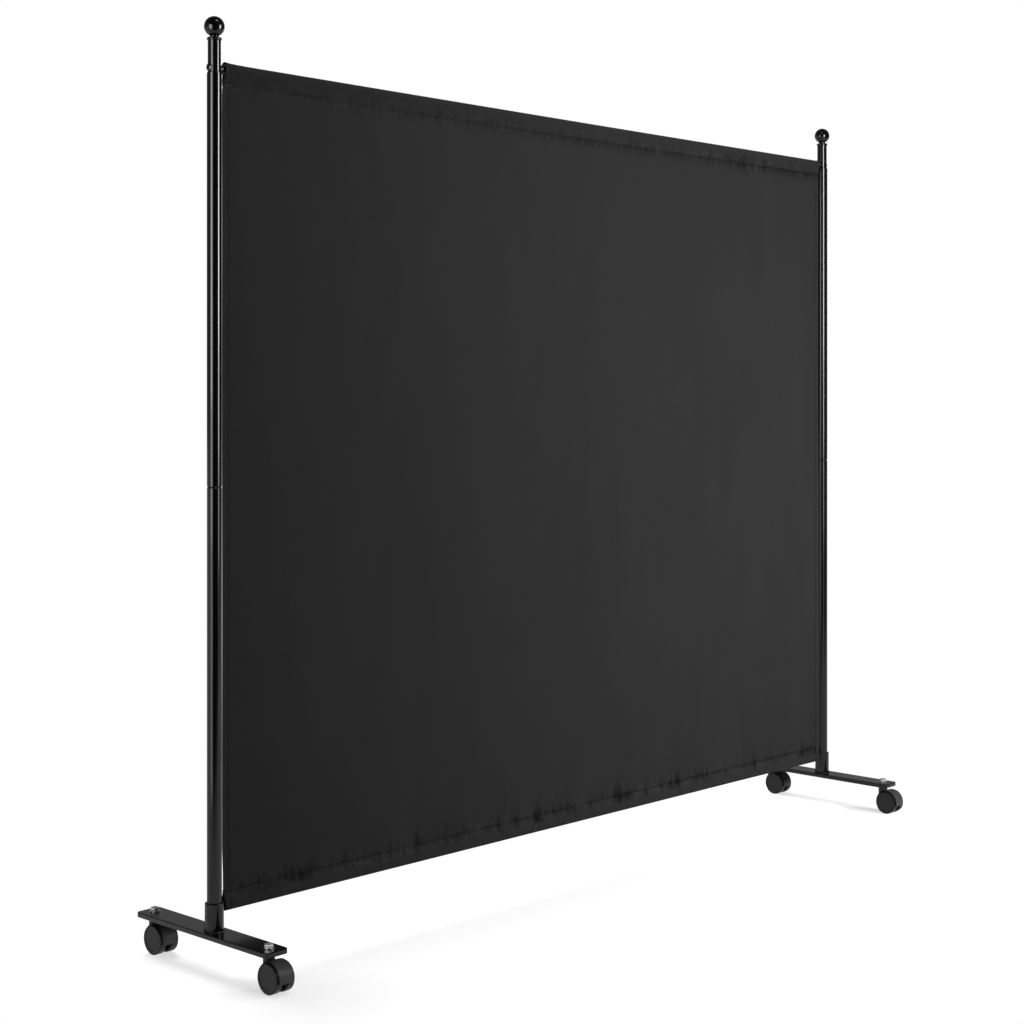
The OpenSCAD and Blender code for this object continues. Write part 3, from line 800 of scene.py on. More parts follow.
def make_cloth_mesh(panel):
    """The ribbon's middle line carried along X, given its thickness and its relief.

    Each ring of points runs along one face of the ribbon and back along the other."""
    cloth = panel.cloth
    y, z = panel.path()
    tangent = np.stack([np.gradient(y), np.gradient(z)], -1)
    tangent /= np.linalg.norm(tangent, axis=1, keepdims=True)
    normal = np.stack([tangent[:, 1], -tangent[:, 0]], -1)
    run = np.concatenate([[0], np.cumsum(np.hypot(np.diff(y), np.diff(z)))])
    near_edge = np.array([0, 0.5, 1.5, 4, 7, 8.6, 9.6, 10.6, 11.3, 12, 13, 14.2, 16.5]) * MM
    width = 2 * panel.half_width
    inner = width - 2 * near_edge[-1]
    columns = max(8, int(inner / cloth.column))
    between = near_edge[-1] + inner * np.arange(1, columns) / columns
    u = np.concatenate([near_edge, between, width - near_edge[::-1]]) / panel.half_width - 1
    ring_y, ring_z, ring_run = (np.concatenate([values, values[::-1]]) for values in (y, z, run))
    out = np.concatenate([normal, -normal[::-1]]) * cloth.thickness / 2
    x = u[:, None] * panel.edge(ring_z[None], u[:, None])
    yy, zz, along = (np.broadcast_to(values, x.shape) for values in (ring_y, ring_z, ring_run))
    rise, groove = panel.lift(x, zz, yy)
    on_front = yy < 0
    flat = abs(out[:, 0]) > 0.3 * cloth.thickness / 2
    dip = np.where(on_front, panel.hem_dip(x, zz), 0) - np.sign(out[:, 0]) * groove * flat
    points = np.stack([x, yy + out[:, 0] - rise + dip, zz + out[:, 1] + panel.corner_pull(x, zz)], -1)
    verts, faces = grid_shell(points, False, True)
    ring = 2 * len(y)
    a = np.arange(len(y) - 1)
    first = np.stack([a, a + 1, ring - 2 - a, ring - 1 - a], -1)
    last = (len(u) - 1) * ring + first[:, ::-1]
    faces += [tuple(face) for face in np.concatenate([first, last]).tolist()]
    below, above = panel.top_seam - zz, zz - panel.bottom_seam
    lines = (below, above, panel.edge(zz, x) - abs(x) - cloth.hem)
    under_top = np.clip(below, 0, None)
    shaded = 0.8 * np.clip(1 + 1.6 * x / panel.half_width, 0, 1) * (under_top > 0) * bell(under_top, 13 * MM)
    tucks = 3.2 * np.clip(field_noise(x / (6.5 * MM) + 17, zz / 0.09 + 5, 61) - 0.3, 0, 1)
    # Painted shade: the first mark darkens the bottom edge under the rod, the cloth just under the top seam
    # towards the left, the tucks just above the bottom seam, and the rows of stitches of the seams and the
    # hem
    marks = {
        "crease": 3 * bell(zz - panel.bottom, 2.2 * MM)
        + (shaded + tucks * bell(above - 2 * MM, 7 * MM)) * on_front
        + sum(bell(line, 1.9 * MM) for line in lines),
        # Painted light and shade: lighter on the puckers' crests, darker in their hollows
        "rise": np.clip((rise - panel.folds(x, zz)) / cloth.pucker_bottom * 1.2, -1, 1),
        "gather": bell(np.minimum(abs(below), abs(above)), 15 * MM),
    }
    return (verts, faces), np.stack([x, along], -1).reshape(-1, 2), run[-1], marks


def hem_strip(panel, side):
    """The turned-in layer of a side hem, behind the sheet: a thin strip that follows its face."""
    cloth = panel.cloth
    across = np.array([0.25, 0.6, 2, 4, 6, 8.6, 10.2, 11.2, 12, 13]) * MM
    z = np.linspace(panel.top_seam - 1.2 * MM, panel.bottom_seam + 1.2 * MM, 260)[:, None]
    x = side * (panel.edge(z, side) - across[None])
    z = np.broadcast_to(z, x.shape)
    near = panel.back(x, z, -panel.layer) + 0.06 * MM
    far = near + cloth.thickness - 0.12 * MM * bell(across - cloth.hem, 1 * MM)
    x, y, z = (np.concatenate([one, other[:, ::-1]], 1) for one, other in ((x, x), (near, far), (z, z)))
    return capped(np.stack([x, y, z], -1)), np.stack([x, z], -1).reshape(-1, 2)


def stitch_row(x, y, z, along, face, thread, reach):
    """One row of stitches: at every place a low capsule along the seam, half sunk in the cloth.

    A capsule has four rings of six points. Face is -1 in front and 1 behind."""
    along, out = np.array(along), np.array([0, face, 0])
    a = angles(6)
    spokes = np.cos(a) * out + np.sin(a) * np.cross(along, out)
    ends, size = np.array([[-1, -0.62, 0.62, 1], [0.25, 1, 1, 0.25]])[..., None, None]
    capsule = ends * reach / 2 * along + size * thread / 2 * spokes
    pattern = capped(capsule)[1]
    faces = [tuple(24 * nth + i for i in face) for nth in range(len(x)) for face in pattern]
    return (np.stack([x, y, z], -1)[:, None, None] + capsule).reshape(-1, 3), faces


def seam_stitches(panel):
    """Two rows of stitches along each sleeve's seam, on both faces."""
    cloth, rows = panel.cloth, []
    reach = 2 * (panel.half_width - 3 * MM)
    steps = np.arange(int(reach / cloth.stitch))
    x = (steps + 0.5) / len(steps) * reach - reach / 2
    for seam, inward in ((panel.top_seam, 1), (panel.bottom_seam, -1)):
        for row in SEAM_ROWS:
            z = seam + inward * (row - 0.2 * MM) + 0.12 * MM * bend_noise(steps * 0.9, 71)
            for face, y in ((-1, panel.front(x, z)), (1, panel.back(x, z, panel.layer))):
                rows.append(stitch_row(x, y, z, (1, 0, 0.04), face, cloth.thread, cloth.stitch * SEWN))
    return rows


def hem_stitches(panel):
    """One row of stitches down each side hem, on both faces, and a bartack at its ends."""
    cloth, rows = panel.cloth, []
    reach = panel.top_seam - panel.bottom_seam - 8 * MM
    steps = np.arange(int(reach / cloth.stitch))
    z = panel.top_seam - 4 * MM - (steps + 0.5) / len(steps) * reach
    for side in (-1, 1):
        x = side * (panel.edge(z, side) - cloth.hem)
        behind = panel.back(x, z, -panel.layer) + cloth.thickness - 0.05 * MM
        for face, y in ((-1, panel.front(x, z)), (1, behind)):
            rows.append(stitch_row(x, y, z, (0.03, 0, 1), face, cloth.thread, cloth.stitch * SEWN))
        x = side * (panel.half_width - np.linspace(2, 10, 12) * MM)
        for height in (panel.top_seam - 2.4 * MM, panel.bottom_seam + 2.4 * MM):
            level = np.full_like(x, height)
            rows.append(stitch_row(x, panel.front(x, level), level, (0.12, 0, 1), -1, cloth.thread, 2.4 * MM))
    return rows


class PARTITION_OT_cloth(bpy.types.Operator):
    """Cloth panel with its sleeves, side hems and stitches"""

    bl_idname = "partition.cloth"
    bl_label = "Cloth panel"

    def execute(self, context):
        panel = Panel()
        shell, uv, cut, marks = make_cloth_mesh(panel)
        cloth = piece("panel_cloth", [shell], "cloth", "cloth_panel", 60, uv=uv, marks=marks)
        for side, name in ((-1, "left_hem"), (1, "right_hem")):
            strip, strip_uv = hem_strip(panel, side)
            piece(name, [strip], "cloth", angle=60, uv=strip_uv)
        seams = piece("seam_stitches", seam_stitches(panel), "thread", angle=70)
        sides = piece("hem_stitches", hem_stitches(panel), "thread", angle=70)
        return {"FINISHED"}


# ---- Rods, plugs and bolts ----

BOLT_BORE = 3.05 * MM  # radius of the holes that the bolts pass through
PIN = 3.5 * MM  # radius of the pins at the bottom rod
BEVEL = 0.3 * MM


def plug_shell(side, height, flange, depth, bore, bore_end, lip):
    """A plug lying along X: a rim against the sleeve's end, a flange, the part in the rod, a bore.

    Flange is its outer face, inner face and radius. A bore that ends at depth goes through."""
    outer, inner, radius = flange
    through = bore_end == depth
    rim, step, barrel = radius + lip, outer - 1.2 * MM, 5.4 * MM
    corners = [(bore, bore_end), (bore, outer), (rim, outer), (rim, step), (radius, step), (radius, inner),
               (barrel, inner), (barrel, depth)]
    radii = [0, 0.3, 0.6, 0.4, 0.1, 0.5, 0, 0.6]
    if not through:
        corners, radii = [(0, bore_end), *corners, (0, depth)], [0, *radii, 0]
    return lathe(rounded(corners, radii) * [1, side], (0, 0, height), 64, "x", closed=through)


def spacer_shell(side, height, bore, radius, inner, post, tube_r):
    """A tube round the bolt. Its outer end fits the post: x = post less the root of tube^2 - y^2."""
    a = angles(64)
    ends = (post - np.sqrt(tube_r**2 - (r * np.cos(a)) ** 2) for r in (radius, bore))
    rings = zip((bore, radius - BEVEL, radius, radius, bore), (inner, inner, inner + BEVEL, *ends))
    return turned(a, [(r, side * h) for r, h in rings], (0, 0, height), True, "x")


def bolt_shell(side):
    """A domed bolt head whose recess blends from a round mouth to a hexagon, and its shank.

    Heights count from the top tube's face. Rings run over the dome, whose height falls with the
    square of the radius, then down the recess."""
    head, head_h, rim, key = 6.5 * MM, 3.2 * MM, 1 * MM, 2 * MM
    shank, shank_end = 3 * MM, -45 * MM
    a = angles(72)
    socket = hexagon(a, key)
    dome = head_h - rim
    ball = (head**2 + dome**2) / (2 * dome)
    radii = np.linspace(head, key * 1.3, 12)[None]
    top = head_h - ball + np.sqrt(ball**2 - radii**2)
    mouth, floor = top[0, -1], head_h / 3
    rings = [(0, shank_end), (shank, shank_end), (shank, 0), (head - BEVEL, 0), (head, BEVEL), (radii, top),
             (socket * 1.04, mouth), (socket * 0.98, mouth - 0.15 * MM), (socket * 0.96, floor), (0, floor)]
    at = (side * abs(low("left_top_tube")[0]), 0, TOP_ROD)
    return turned(a, [(r, side * h) for r, h in rings], at, axis="x")


class PARTITION_OT_rods(bpy.types.Operator):
    """Rods and joiners, their end plugs, and the bolts at the top rod"""

    bl_idname = "partition.rods"
    bl_label = "Rods, plugs and bolts"

    def execute(self, context):
        for node in (*RODS, "rod_joiners"):
            dress(node, "steel")
        rod_end = high("top_rod_right")[0]
        depth, pin_in = rod_end - 18 * MM, rod_end - 9 * MM
        outer, pin_out = high("top_rod_plugs")[0], high("bottom_pins")[0]
        for level, height, bore, bore_end, lip in (
            ("top", TOP_ROD, BOLT_BORE, depth, 2.9 * MM),
            ("bottom", BOTTOM_ROD, PIN + 0.05 * MM, pin_in - 0.3 * MM, 0.4 * MM),
        ):
            node = f"{level}_rod_plugs"
            flange = outer, rod_end, half(node)[2]
            shells = [plug_shell(side, height, flange, depth, bore, bore_end, lip) for side in (-1, 1)]
            piece(f"{level}_end_plugs", shells, "plug", node)
        post, tube_r = middle("right_top_tube")[0], half("right_top_tube")[1]
        shells = [spacer_shell(side, TOP_ROD, BOLT_BORE, 4.5 * MM, outer, post, tube_r) for side in (-1, 1)]
        piece("bolt_spacers", shells, "dull", "top_spacers", 30)
        profile = rounded(oblong(0, PIN, pin_in, pin_out), [0, 0.3, 0.6, 0])
        shells = [lathe(profile * [1, side], (0, 0, BOTTOM_ROD), 48, "x") for side in (-1, 1)]
        piece("locking_pins", shells, "dull", "bottom_pins", 30)
        piece("socket_head_bolts", [bolt_shell(side) for side in (-1, 1)], "oxide", "rod_bolts", 30)
        return {"FINISHED"}


# ---- Posts and finials ----


def pin_hole(made, at):
    """Drills the hole of a bottom pin from the middle of a post or socket towards the panel."""
    drill(made, (at[0], 0, BOTTOM_ROD), PIN + 0.25 * MM, -np.sign(at[0]) * 30 * MM)


class PARTITION_OT_posts(bpy.types.Operator):
    """Lower, upper and top tubes of both posts"""

    bl_idname = "partition.posts"
    bl_label = "Post tubes"

    def execute(self, context):
        settings = context.scene.partition_frame
        wall, cut = settings.wall, settings.joint
        for name in SIDES:
            lower, upper, top = (f"{name}_{part}_tube" for part in ("lower", "upper", "top"))
            at = upright(lower)
            r, r_top = half(lower)[0], half(top)[0]
            bore = r - wall
            z0, z1, z2, z3 = low(lower)[2], high(lower)[2], low(upper)[2], high(upper)[2]
            corners = [(bore, z0), (r, z0), (r, z1 - 1.3 * cut), (r - cut, z1), (bore, z1)]
            pin_hole(tube(f"{name}_lower_post", corners, 0.3, at, "gloss", lower), at)
            spigot = bore - 0.1 * MM
            inner = spigot - wall
            corners = [(inner, z2), (spigot, z2), (spigot, z1), (r - cut, z1), (r, z1 + 1.3 * cut),
                       (r, z3 - settings.cone), (bore + 0.15 * MM, z3), (bore, z3), (bore, z1 + wall),
                       (inner, z1 + wall)]
            radii = [0.2, 0.2, 0, 0.3, 0.3, 0.5, 0.2, 0, 0, 0]
            tube(f"{name}_upper_post", corners, radii, at, "gloss", upper)
            corners = oblong(r_top - wall, r_top, low(top)[2], high(top)[2])
            made = tube(f"{name}_top_post", corners, 0.3, at, "gloss", top)
            drill(made, (at[0] - 30 * MM, 0, TOP_ROD), BOLT_BORE + 0.2 * MM, 60 * MM)
        return {"FINISHED"}


class PARTITION_OT_finials(bpy.types.Operator):
    """Turned finials: plug, collar with a round edge, neck and ball"""

    bl_idname = "partition.finials"
    bl_label = "Finials"

    def execute(self, context):
        settings = context.scene.partition_frame
        ball, neck = settings.ball / 2, settings.neck / 2
        for name in SIDES:
            node = f"{name}_finial"
            at = upright(node)
            z0 = high(f"{name}_top_tube")[2]
            z1 = z0 + settings.collar_height
            centre = high(node)[2] - ball - settings.sink
            collar = high(f"{name}_lower_tube")[0] - at[0]
            join = math.asin(neck / ball)
            plug, plug_end = 9.5 * MM, z0 - 18 * MM
            corners = [(0, plug_end), (plug, plug_end), (plug, z0), (collar, z0), (collar, z1), (neck, z1),
                       (neck, centre - ball * math.cos(join))]
            steps = 8
            stem = rounded(corners, [0, 0.5, 0, 2.7, 2.7, 0.9, 0], steps)[: 2 - steps]
            a = np.linspace(join, math.pi, 56)
            sphere = np.stack([ball * np.sin(a), centre - ball * np.cos(a)], -1)
            shell = lathe(np.concatenate([stem, sphere]), at, settings.sides)
            piece(f"{name}_ball_finial", [shell], "gloss", node, 50)
        return {"FINISHED"}


# ---- Feet ----


class PARTITION_OT_feet(bpy.types.Operator):
    """Foot plates and post sockets"""

    bl_idname = "partition.feet"
    bl_label = "Feet"

    def execute(self, context):
        settings = context.scene.partition_frame
        for name in SIDES:
            plate, socket = f"{name}_foot_plate", f"{name}_foot_socket"
            piece(f"{name}_foot_bar", [plate_shell(plate, settings)], "foot", plate, 40)
            at = upright(socket)
            z0, z1 = low(socket)[2], high(socket)[2]
            bore = high(f"{name}_lower_tube")[0] - at[0] + 0.1 * MM
            r = bore + 3.35 * MM
            radii = [0, 0, settings.socket_rim / MM, 0.25]
            pin_hole(tube(f"{name}_post_socket", oblong(bore, r, z0, z1), radii, at, "foot", socket, 9), at)
            piece(f"{name}_weld", [weld_bead(at, r, z0, settings.weld)], "foot", angle=60)
        return {"FINISHED"}


def plate_shell(node, settings):
    """A flat bar: rounded rectangles stacked up, each drawn in along a quarter circle at the edge."""
    centre, reach = middle(node), half(node)
    corner, edge = settings.plate_corner, settings.plate_edge
    a = np.linspace(0, math.pi / 2, 7)
    inset, rise = edge * (1 - np.sin(a)), edge * (1 - np.cos(a)) - reach[2]
    rim = edge + 1 * MM
    inset = np.concatenate([[rim], inset, inset[::-1], [rim]])[:, None, None]
    rise = np.concatenate([[-reach[2]], rise, -rise[::-1], [reach[2]]])[:, None, None]
    quarter = (np.arange(4) * math.pi / 2)[:, None] + np.linspace(0, math.pi / 2, 9)
    direction = np.stack([np.cos(quarter), np.sin(quarter)], -1).reshape(-1, 2)
    sign = np.array([[1, 1], [-1, 1], [-1, -1], [1, -1]])
    outline = np.repeat(sign * (reach[:2] - corner), 9, 0) + (corner - inset) * direction
    return capped(np.concatenate([outline, np.broadcast_to(rise, (*outline.shape[:2], 1))], -1) + centre)


def weld_bead(at, radius, height, size):
    """A bead round the socket's base: a ring whose section swells with each ripple of the weld."""
    a = angles(384)
    ripples = 46
    wave = abs(np.sin(ripples / 2 * a + np.linspace(-0.45, 0.45, 11)))
    wander = 0.06 * np.sin(3 * a + 1) + 0.05 * np.sin(7 * a + 2)
    reach = size * (0.80 + 0.14 * wave + wander)
    section = np.linspace(-0.35, math.pi / 2 + 0.35, 11)
    r = radius - 0.5 * MM + (reach + 0.4 * MM) * np.cos(section)
    z = height - 0.3 * MM + (reach + 0.2 * MM) * np.sin(section)
    z = np.maximum(z, height - 0.25 * MM)
    inner = radius - 1.5 * MM
    return turned(a, [(inner, z[:, :1]), (r, z), (inner, z[:, -1:])], at, True)


class PARTITION_OT_stems(bpy.types.Operator):
    """Caster stems with their threads, washers and nuts"""

    bl_idname = "partition.stems"
    bl_label = "Stems, washers and nuts"

    def execute(self, context):
        settings = context.scene.partition_frame
        nuts, washers = [], []
        plate_top, washer_top = high("left_foot_plate")[2], high("stem_washers")[2]
        nut_top = high("stem_nuts")[2] - settings.nut_cut
        washer = rounded(oblong(5 * MM, 9 * MM, plate_top, washer_top), 0.35)
        for turn, name in enumerate(CASTERS):
            stem = f"{name}_stem"
            at = upright(stem)
            shells = stem_shells(stem, at, nut_top, nut_top + settings.stem_show)
            piece(f"{name}_threaded_stem", shells, "zinc", stem, 30)
            washers.append(lathe(washer, at, 64, closed=True))
            nuts.append(nut_shell(at, washer_top, nut_top, 0.35 + 1.1 * turn))
        piece("plated_nuts", nuts, "zinc", "stem_nuts", 25)
        piece("plated_washers", washers, "zinc", "stem_washers", 30)
        return {"FINISHED"}


def nut_shell(at, z0, z1, turn):
    """A hexagonal nut.

    The cone turned on its corners meets the wall where the cone's radius equals the wall's, so
    each side ends in an arch."""
    flat, bore, bevel = 7.15 * MM, 4.8 * MM, 0.5 * MM
    a = angles(96)
    wall = np.minimum(hexagon(a, flat), flat / math.cos(math.radians(28.6)))
    mouth = flat * 0.94
    drop = (wall - mouth) * math.tan(math.radians(32))
    rings = [(bore, z0), (mouth, z0), (wall, z0 + drop * 0.5), (wall, z1 - drop), (mouth, z1),
             (bore + bevel, z1), (bore, z1 - bevel)]
    return turned(a + turn, rings, at, True)


def stem_shells(node, at, nut_top, z1):
    """A stem: turned journal and flange below, and a thread above whose radius follows a helix.

    The thread's depth at angle a and height z is a triangle wave of z / pitch - a / turn."""
    z0, plate_bottom = low(node)[2], low("left_foot_plate")[2]
    under, body_top = plate_bottom - 1.8 * MM, nut_top - 2 * MM
    journal, flange, shank = 4 * MM, half(node)[0], 4.4 * MM
    corners = [(0, z0), (journal, z0), (journal, under), (flange, under), (flange, plate_bottom),
               (shank, plate_bottom), (shank, body_top), (0, body_top)]
    body = rounded(corners, [0, 0.6, 0.3, 0.5, 0.2, 0, 0, 0])
    pitch, crest = 1.25 * MM, 4.75 * MM
    z = np.linspace(nut_top - 3 * MM, z1, 22)[None]
    a = angles(64)
    wave = abs(np.mod(z / pitch - a / TURN, 1) * 2 - 1)
    r = np.minimum(crest - 0.7 * MM * wave, crest - 0.9 * MM + np.maximum(z1 - z, 0) * 1.2)
    return [lathe(body, at, 64), turned(a, [(0, z[:, :1]), (r, z), (0, z[:, -1:])], at)]


# ---- Casters ----


class PARTITION_OT_casters(bpy.types.Operator):
    """Caster hoods, axles and wheels"""

    bl_idname = "partition.casters"
    bl_label = "Casters"

    def execute(self, context):
        settings = context.scene.partition_frame
        for name in CASTERS:
            hood, stem_at, wheel_at = f"{name}_hood", upright(f"{name}_stem"), middle(f"{name}_outer_wheel")
            axle = np.array([stem_at[0], wheel_at[1], wheel_at[2]])
            shells = hood_shells(hood, stem_at, axle, settings)
            off_middle = abs(np.concatenate([shell[0][:, 0] for shell in shells]) - axle[0])
            # Painted shade: the outer 1.5 mm at each side of the cover is drawn darker
            marks = {"rim": np.clip((off_middle - half(hood)[0] + 1.5 * MM) / (0.5 * MM), 0, 1)}
            piece(f"{name}_cover", shells, "hood", hood, body=f"{name}_caster", marks=marks)
            dress(f"{name}_axle", "steel")
            for part in ("outer", "inner"):
                node = f"{name}_{part}_wheel"
                shell = wheel_shell(node, np.sign(middle(node)[0] - stem_at[0]), axle, settings)
                from_axle = np.hypot(*(shell[0] - axle)[:, 1:].T)
                # Painted shade: the tread and the outer 2 mm or so of the face are drawn darker
                marks = {"tyre": np.clip((from_axle - half(node)[2] + 2.1 * MM) / (0.25 * MM), 0, 1)}
                piece(f"{name}_{part}_disc", [shell], "wheel", node, body=f"{name}_{part}", marks=marks)
        return {"FINISHED"}


def wheel_shell(node, way, axle, settings):
    """A wheel turned about the axle: dished face, tread with a shallow line, rim and hub."""
    radius = half(node)[2]
    inner, outer = sorted((abs(low(node)[0] - axle[0]), abs(high(node)[0] - axle[0])))
    bore, hub, dip = 2.6 * MM, 6.5 * MM, settings.wheel_dish
    web, tread, dish = outer - 2.5 * MM, radius - 3 * MM, radius - 5 * MM
    line, line_in, line_end = radius - 1.1 * MM, radius - 1.9 * MM, outer - 1 * MM
    corners = [(bore, inner), (hub, inner), (hub, web), (tread, web), (tread, inner), (radius, inner),
               (radius, outer), (line, outer), (line, line_end), (line_in, line_end), (line_in, outer),
               (dish, outer), (dish - dip, outer - dip), (0, outer - dip), (0, web), (bore, web)]
    radii = [0.2, 0.4, 0.6, 0.6, 0.4, 0.6, 0.7, 0.15, 0.1, 0.1, 0.3, 0.5, 0.6, 0, 0, 0]
    return lathe(rounded(corners, radii) * [1, way], axle, settings.sides, "x", closed=True)


def hood_shells(node, stem_at, axle, settings):
    """A round cover over both wheels, its middle web, the axle's hub and the swivel boss.

    The cover's section is carried round the axle; the angle at which it ends on the trailing
    side is where the section's radius reaches the tail's height below the axle."""
    side, outer = half(node)[0], axle[1] - low(node)[1]
    inner = outer - settings.hood_wall
    drop = axle[2] - low(node)[2]
    tail = drop - settings.hood_lift
    section = fill_in(rounded(oblong(-side, side, inner, outer), 0.7, 4), 1.5 * MM)
    crown = 0.5 * MM * (section[:, 0] / side) ** 2
    radius = section[:, 1] - np.where(section[:, 1] > (inner + outer) / 2, crown, 0)
    angle = np.linspace(0, 1, 57)[:, None] * (math.pi + np.arcsin(tail / radius))
    across = np.broadcast_to(section[:, 0], angle.shape)
    cover = np.stack([across, radius * np.cos(angle), radius * np.sin(angle)], -1)
    web, hub = 6 * MM, 6.5 * MM
    arc = np.linspace(0, math.pi + math.asin(tail / inner), 49)
    rim = (inner + 0.4 * MM) * np.stack([np.cos(arc), np.sin(arc)], -1)
    outline = np.concatenate([rim, np.array([[-1, 0.3 - drop / MM], [-1, 0.2]]) * MM])
    plate = np.stack([np.insert(outline, 0, level, 1) for level in (-web, web)])
    top = high(node)[2]
    boss = rounded(oblong(0, 10 * MM, top - 16 * MM, top), [0, 0.5, 0.9, 0])
    return [
        capped(cover + axle), capped(plate + axle),
        lathe(rounded(oblong(0, hub, -web, web), [0, 0.3, 0.3, 0]), axle, 48, "x"),
        lathe(boss, stem_at, 72),
    ]


# ---- Stage ----

# Stacked lamps that show as streaks on the posts: X and Y of the lamps and of the point that they
# face, width and spread, then the brightness, bottom and top of each
STACKS = {
    "side_strip": ((-1.8, -0.2), (0, -0.2), 0.55, 90,
                   ((2.3, 0.95, 1.8), (1.36, 0.65, 0.95), (0.71, 0.1, 0.65))),
    "front_box": ((0.22, -1.66), (0, 0), 0.62, 100,
                  ((12, 1.1, 1.95), (6.5, 0.8, 1.1), (2.8, 0.5, 0.8), (0.55, 0.05, 0.5))),
}
# Lamps that light the cloth and the floor: place, point that they face, width, height, brightness
FILLS = {
    "fill_right": ((1.2, -1.5, 0.9), (0.6, 0, 0.6), 0.8, 0.8, 28.0),
    "fill_top": ((0.1, -0.9, 3.0), (0, 0, 0.4), 3.0, 1.0, 4.2),
    "fill_low": ((0.2, -1.0, 0.14), (0.2, 0, 0.2), 2.0, 0.2, 4.2),
    "fill_back": ((0.3, 2.3, 3.0), (0, 0, 0.8), 2.6, 1.4, 24.0),
}


def soft_box(name, place, aim, width, height, power, opening=180, glossy=True, diffuse=True):
    """A rectangular lamp that faces a point. Power is its brightness as a surface."""
    data = bpy.data.lights.new(name, "AREA")
    data.shape = "RECTANGLE"
    data.size, data.size_y = width, height
    data.energy = power * width * height * math.pi
    data.spread = math.radians(opening)
    lamp = show(name, data)
    x, y, z = np.subtract(aim, place).tolist()
    lamp.location = place
    lamp.rotation_euler = (math.pi / 2 + math.atan2(z, math.hypot(x, y)), 0, math.atan2(y, x) - math.pi / 2)
    lamp.visible_glossy, lamp.visible_diffuse, lamp.visible_camera = glossy, diffuse, False
    return lamp


def floor_finish(tint, post, foot, eye):
    """A pale matt floor that turns to the backdrop's white away from the panel and the feet.

    In gloss it looks bright near the object, and dark where the photographer stands."""
    material, shader = new_material("studio_floor")

    def past(distance):
        """The distance where it is above 0."""
        return distance.maths("MAXIMUM", distance, 0.0)

    drift = shader.noise(0.4, 3.0)
    axes = shader.add("SeparateXYZ", {0: shader.add("TexCoord", output="Object")})
    deep = axes.output(1)
    across, along = abs(axes), abs(deep)
    from_eye = ((axes - eye[0]) ** 2 + (deep - eye[1]) ** 2) ** 0.5
    beside = across - post
    under_panel = (past(beside) ** 2 + along**2) ** 0.5
    under_foot = (beside**2 + past(along - foot) ** 2) ** 0.5
    away = under_panel.maths("MINIMUM", under_panel, under_foot)
    fade = (0.60 + away / 0.5).kept()
    camera = shader.add("LightPath")
    glossy, scattered = camera.output("Is Glossy Ray"), camera.output("Is Diffuse Ray")
    lively = (((from_eye - 1.45) / 1.1).kept() * ((deep + 2.9) / 1.2).kept()).kept()
    ground = shader.add("BsdfPrincipled", {
        "Base Color": shader.mix(drift, shade(tint, -0.006), shade(tint, 0.006)),
        "Roughness": 0.7,
        "Specular IOR Level": 0.15,
    })
    white = shader.add("Emission", {"Color": (1, 1, 1), "Strength": 1.0})
    glow = shader.mix(lively, (0.02, 0.02, 0.02), (0.8, 0.8, 0.8))
    studio = shader.add("Emission", {"Color": glow, "Strength": 1.0})
    absorber = shader.add("BsdfDiffuse", {"Color": (0.2, 0.2, 0.2)})
    ground = shader.add("MixShader", {0: scattered, 1: ground, 2: absorber})
    lit = shader.add("MixShader", {0: fade * camera, 1: ground, 2: white})
    shader.finish(shader.add("MixShader", {0: glossy, 1: lit, 2: studio}))
    return material


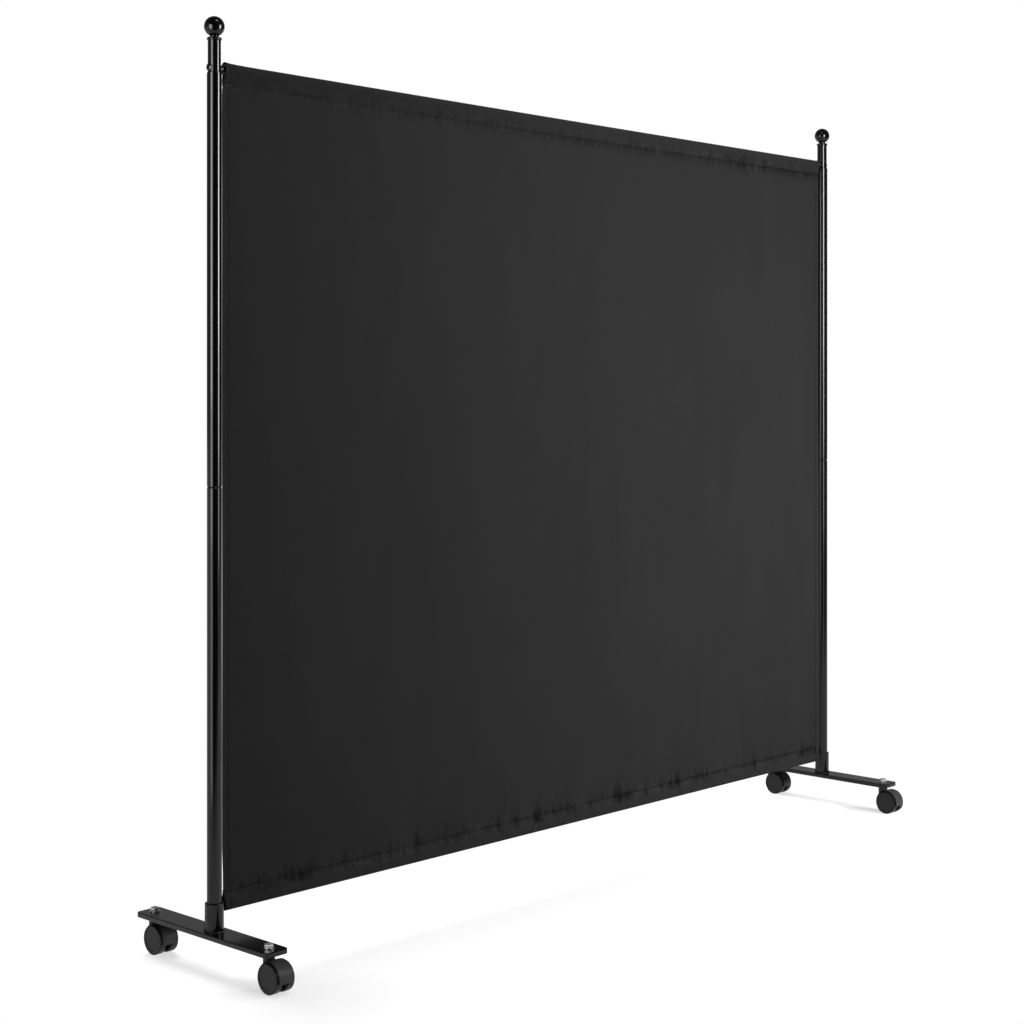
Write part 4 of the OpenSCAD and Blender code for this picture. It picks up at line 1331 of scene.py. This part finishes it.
class PARTITION_OT_stage(bpy.types.Operator):
    """Floor, backdrop, lamps and camera"""

    bl_idname = "partition.stage"
    bl_label = "Stage"

    def execute(self, context):
        settings, scene = context.scene.partition_stage, context.scene
        scene.view_settings.view_transform = "Standard"
        reach = 30.0
        mesh = bpy.data.meshes.new("floor")
        mesh.from_pydata([(x, y, 0) for x, y in oblong(-reach, reach, -reach, reach)], [], [(0, 1, 2, 3)])
        foot = 0.17
        mesh.materials.append(floor_finish(settings.floor, middle("right_lower_tube")[0], foot, settings.eye))
        show("floor", mesh)
        self.world(scene, settings)
        self.lamps()
        data = bpy.data.cameras.new("camera")
        data.sensor_width, data.lens = 36, settings.lens
        data.shift_x, data.shift_y = settings.shift_side, settings.shift
        camera = show("camera", data)
        camera.location = settings.eye
        camera.rotation_euler = (math.pi / 2, 0, settings.heading - math.pi / 2)
        scene.camera = camera
        return {"FINISHED"}

    def lamps(self):
        """The stacked lamps, which only gloss shows, a box overhead and the fills. The front boxes
        leave out the foot bars, which would mirror them to an eye behind the panel."""
        feet = bpy.data.collections.new("foot_bars")
        for bar in (item for item in bpy.data.objects if item.name.endswith("_foot_bar")):
            feet.objects.link(bar)
        for linked in feet.collection_objects:
            linked.light_linking.link_state = "EXCLUDE"
        for name, (place, aim, width, opening, steps) in STACKS.items():
            for nth, (level, bottom, top) in enumerate(steps):
                z = (bottom + top) / 2
                size = width, top - bottom
                box = soft_box(f"{name}_{nth}", (*place, z), (*aim, z), *size, level, opening, diffuse=False)
                if name == "front_box":
                    box.light_linking.receiver_collection = feet
        soft_box("ceiling_box", (-0.7, -0.9, 3.2), (-0.7, -0.6, 0), 0.6, 0.6, 5.0, diffuse=False)
        for name, lamp in FILLS.items():
            soft_box(name, *lamp, glossy=False)

    def world(self, scene, settings):
        """White to the eye, and to gloss behind the object; dark studio in front of it."""
        world = bpy.data.worlds.new("studio")
        world.use_nodes = True
        scene.world = world
        shader = Shader(world.node_tree)
        back = shader.add("SeparateXYZ", {0: shader.add("TexCoord", output="Generated")}, output=1)
        high_up = ((back.output(2) - 0.3) / 0.3).kept()
        behind = ((back + 0.05) / 0.35).kept() * (1 - 0.8 * high_up)
        camera = shader.add("LightPath")
        glossy = camera.output("Is Glossy Ray")
        seen = (camera + camera.output("Is Transmission Ray")).kept()
        unseen = glossy * (0.03 + 0.22 * behind) + (1 - glossy) * settings.ambient
        surface = shader.add("Background", {"Color": (1, 1, 1), "Strength": seen + (1 - seen) * unseen})
        shader.finish(surface, "OutputWorld")


class PARTITION_PT_pieces(bpy.types.Panel):
    """The partition's settings and pieces"""

    bl_label = "Rolling partition"
    bl_idname = "PARTITION_PT_pieces"
    bl_space_type = "VIEW_3D"
    bl_region_type = "UI"
    bl_category = "Partition"

    def draw(self, context):
        for name, group in SETTINGS.items():
            box = self.layout.box()
            box.label(text=group.__doc__)
            for setting in group.__annotations__:
                box.prop(getattr(context.scene, name), setting)
        for operator in OPERATORS:
            self.layout.operator(operator.bl_idname)


OPERATORS = (
    PARTITION_OT_cloth,
    PARTITION_OT_rods,
    PARTITION_OT_posts,
    PARTITION_OT_finials,
    PARTITION_OT_feet,
    PARTITION_OT_stems,
    PARTITION_OT_casters,
    PARTITION_OT_stage,
)
CLASSES = (*SETTINGS.values(), *OPERATORS, PARTITION_PT_pieces)


def register():
    """Makes the settings, operators and panel known."""
    for item in CLASSES:
        bpy.utils.register_class(item)
    for name, group in SETTINGS.items():
        setattr(bpy.types.Scene, name, bpy.props.PointerProperty(type=group))


def unregister():
    """Takes the settings, operators and panel away again."""
    for name in SETTINGS:
        delattr(bpy.types.Scene, name)
    for item in reversed(CLASSES):
        bpy.utils.unregister_class(item)


def main():
    """Makes the settings, operators and panel known, then builds every piece."""
    register()
    for operator in OPERATORS:
        getattr(bpy.ops.partition, operator.bl_idname.split(".")[1])()


if __name__ == "__main__":
    main()
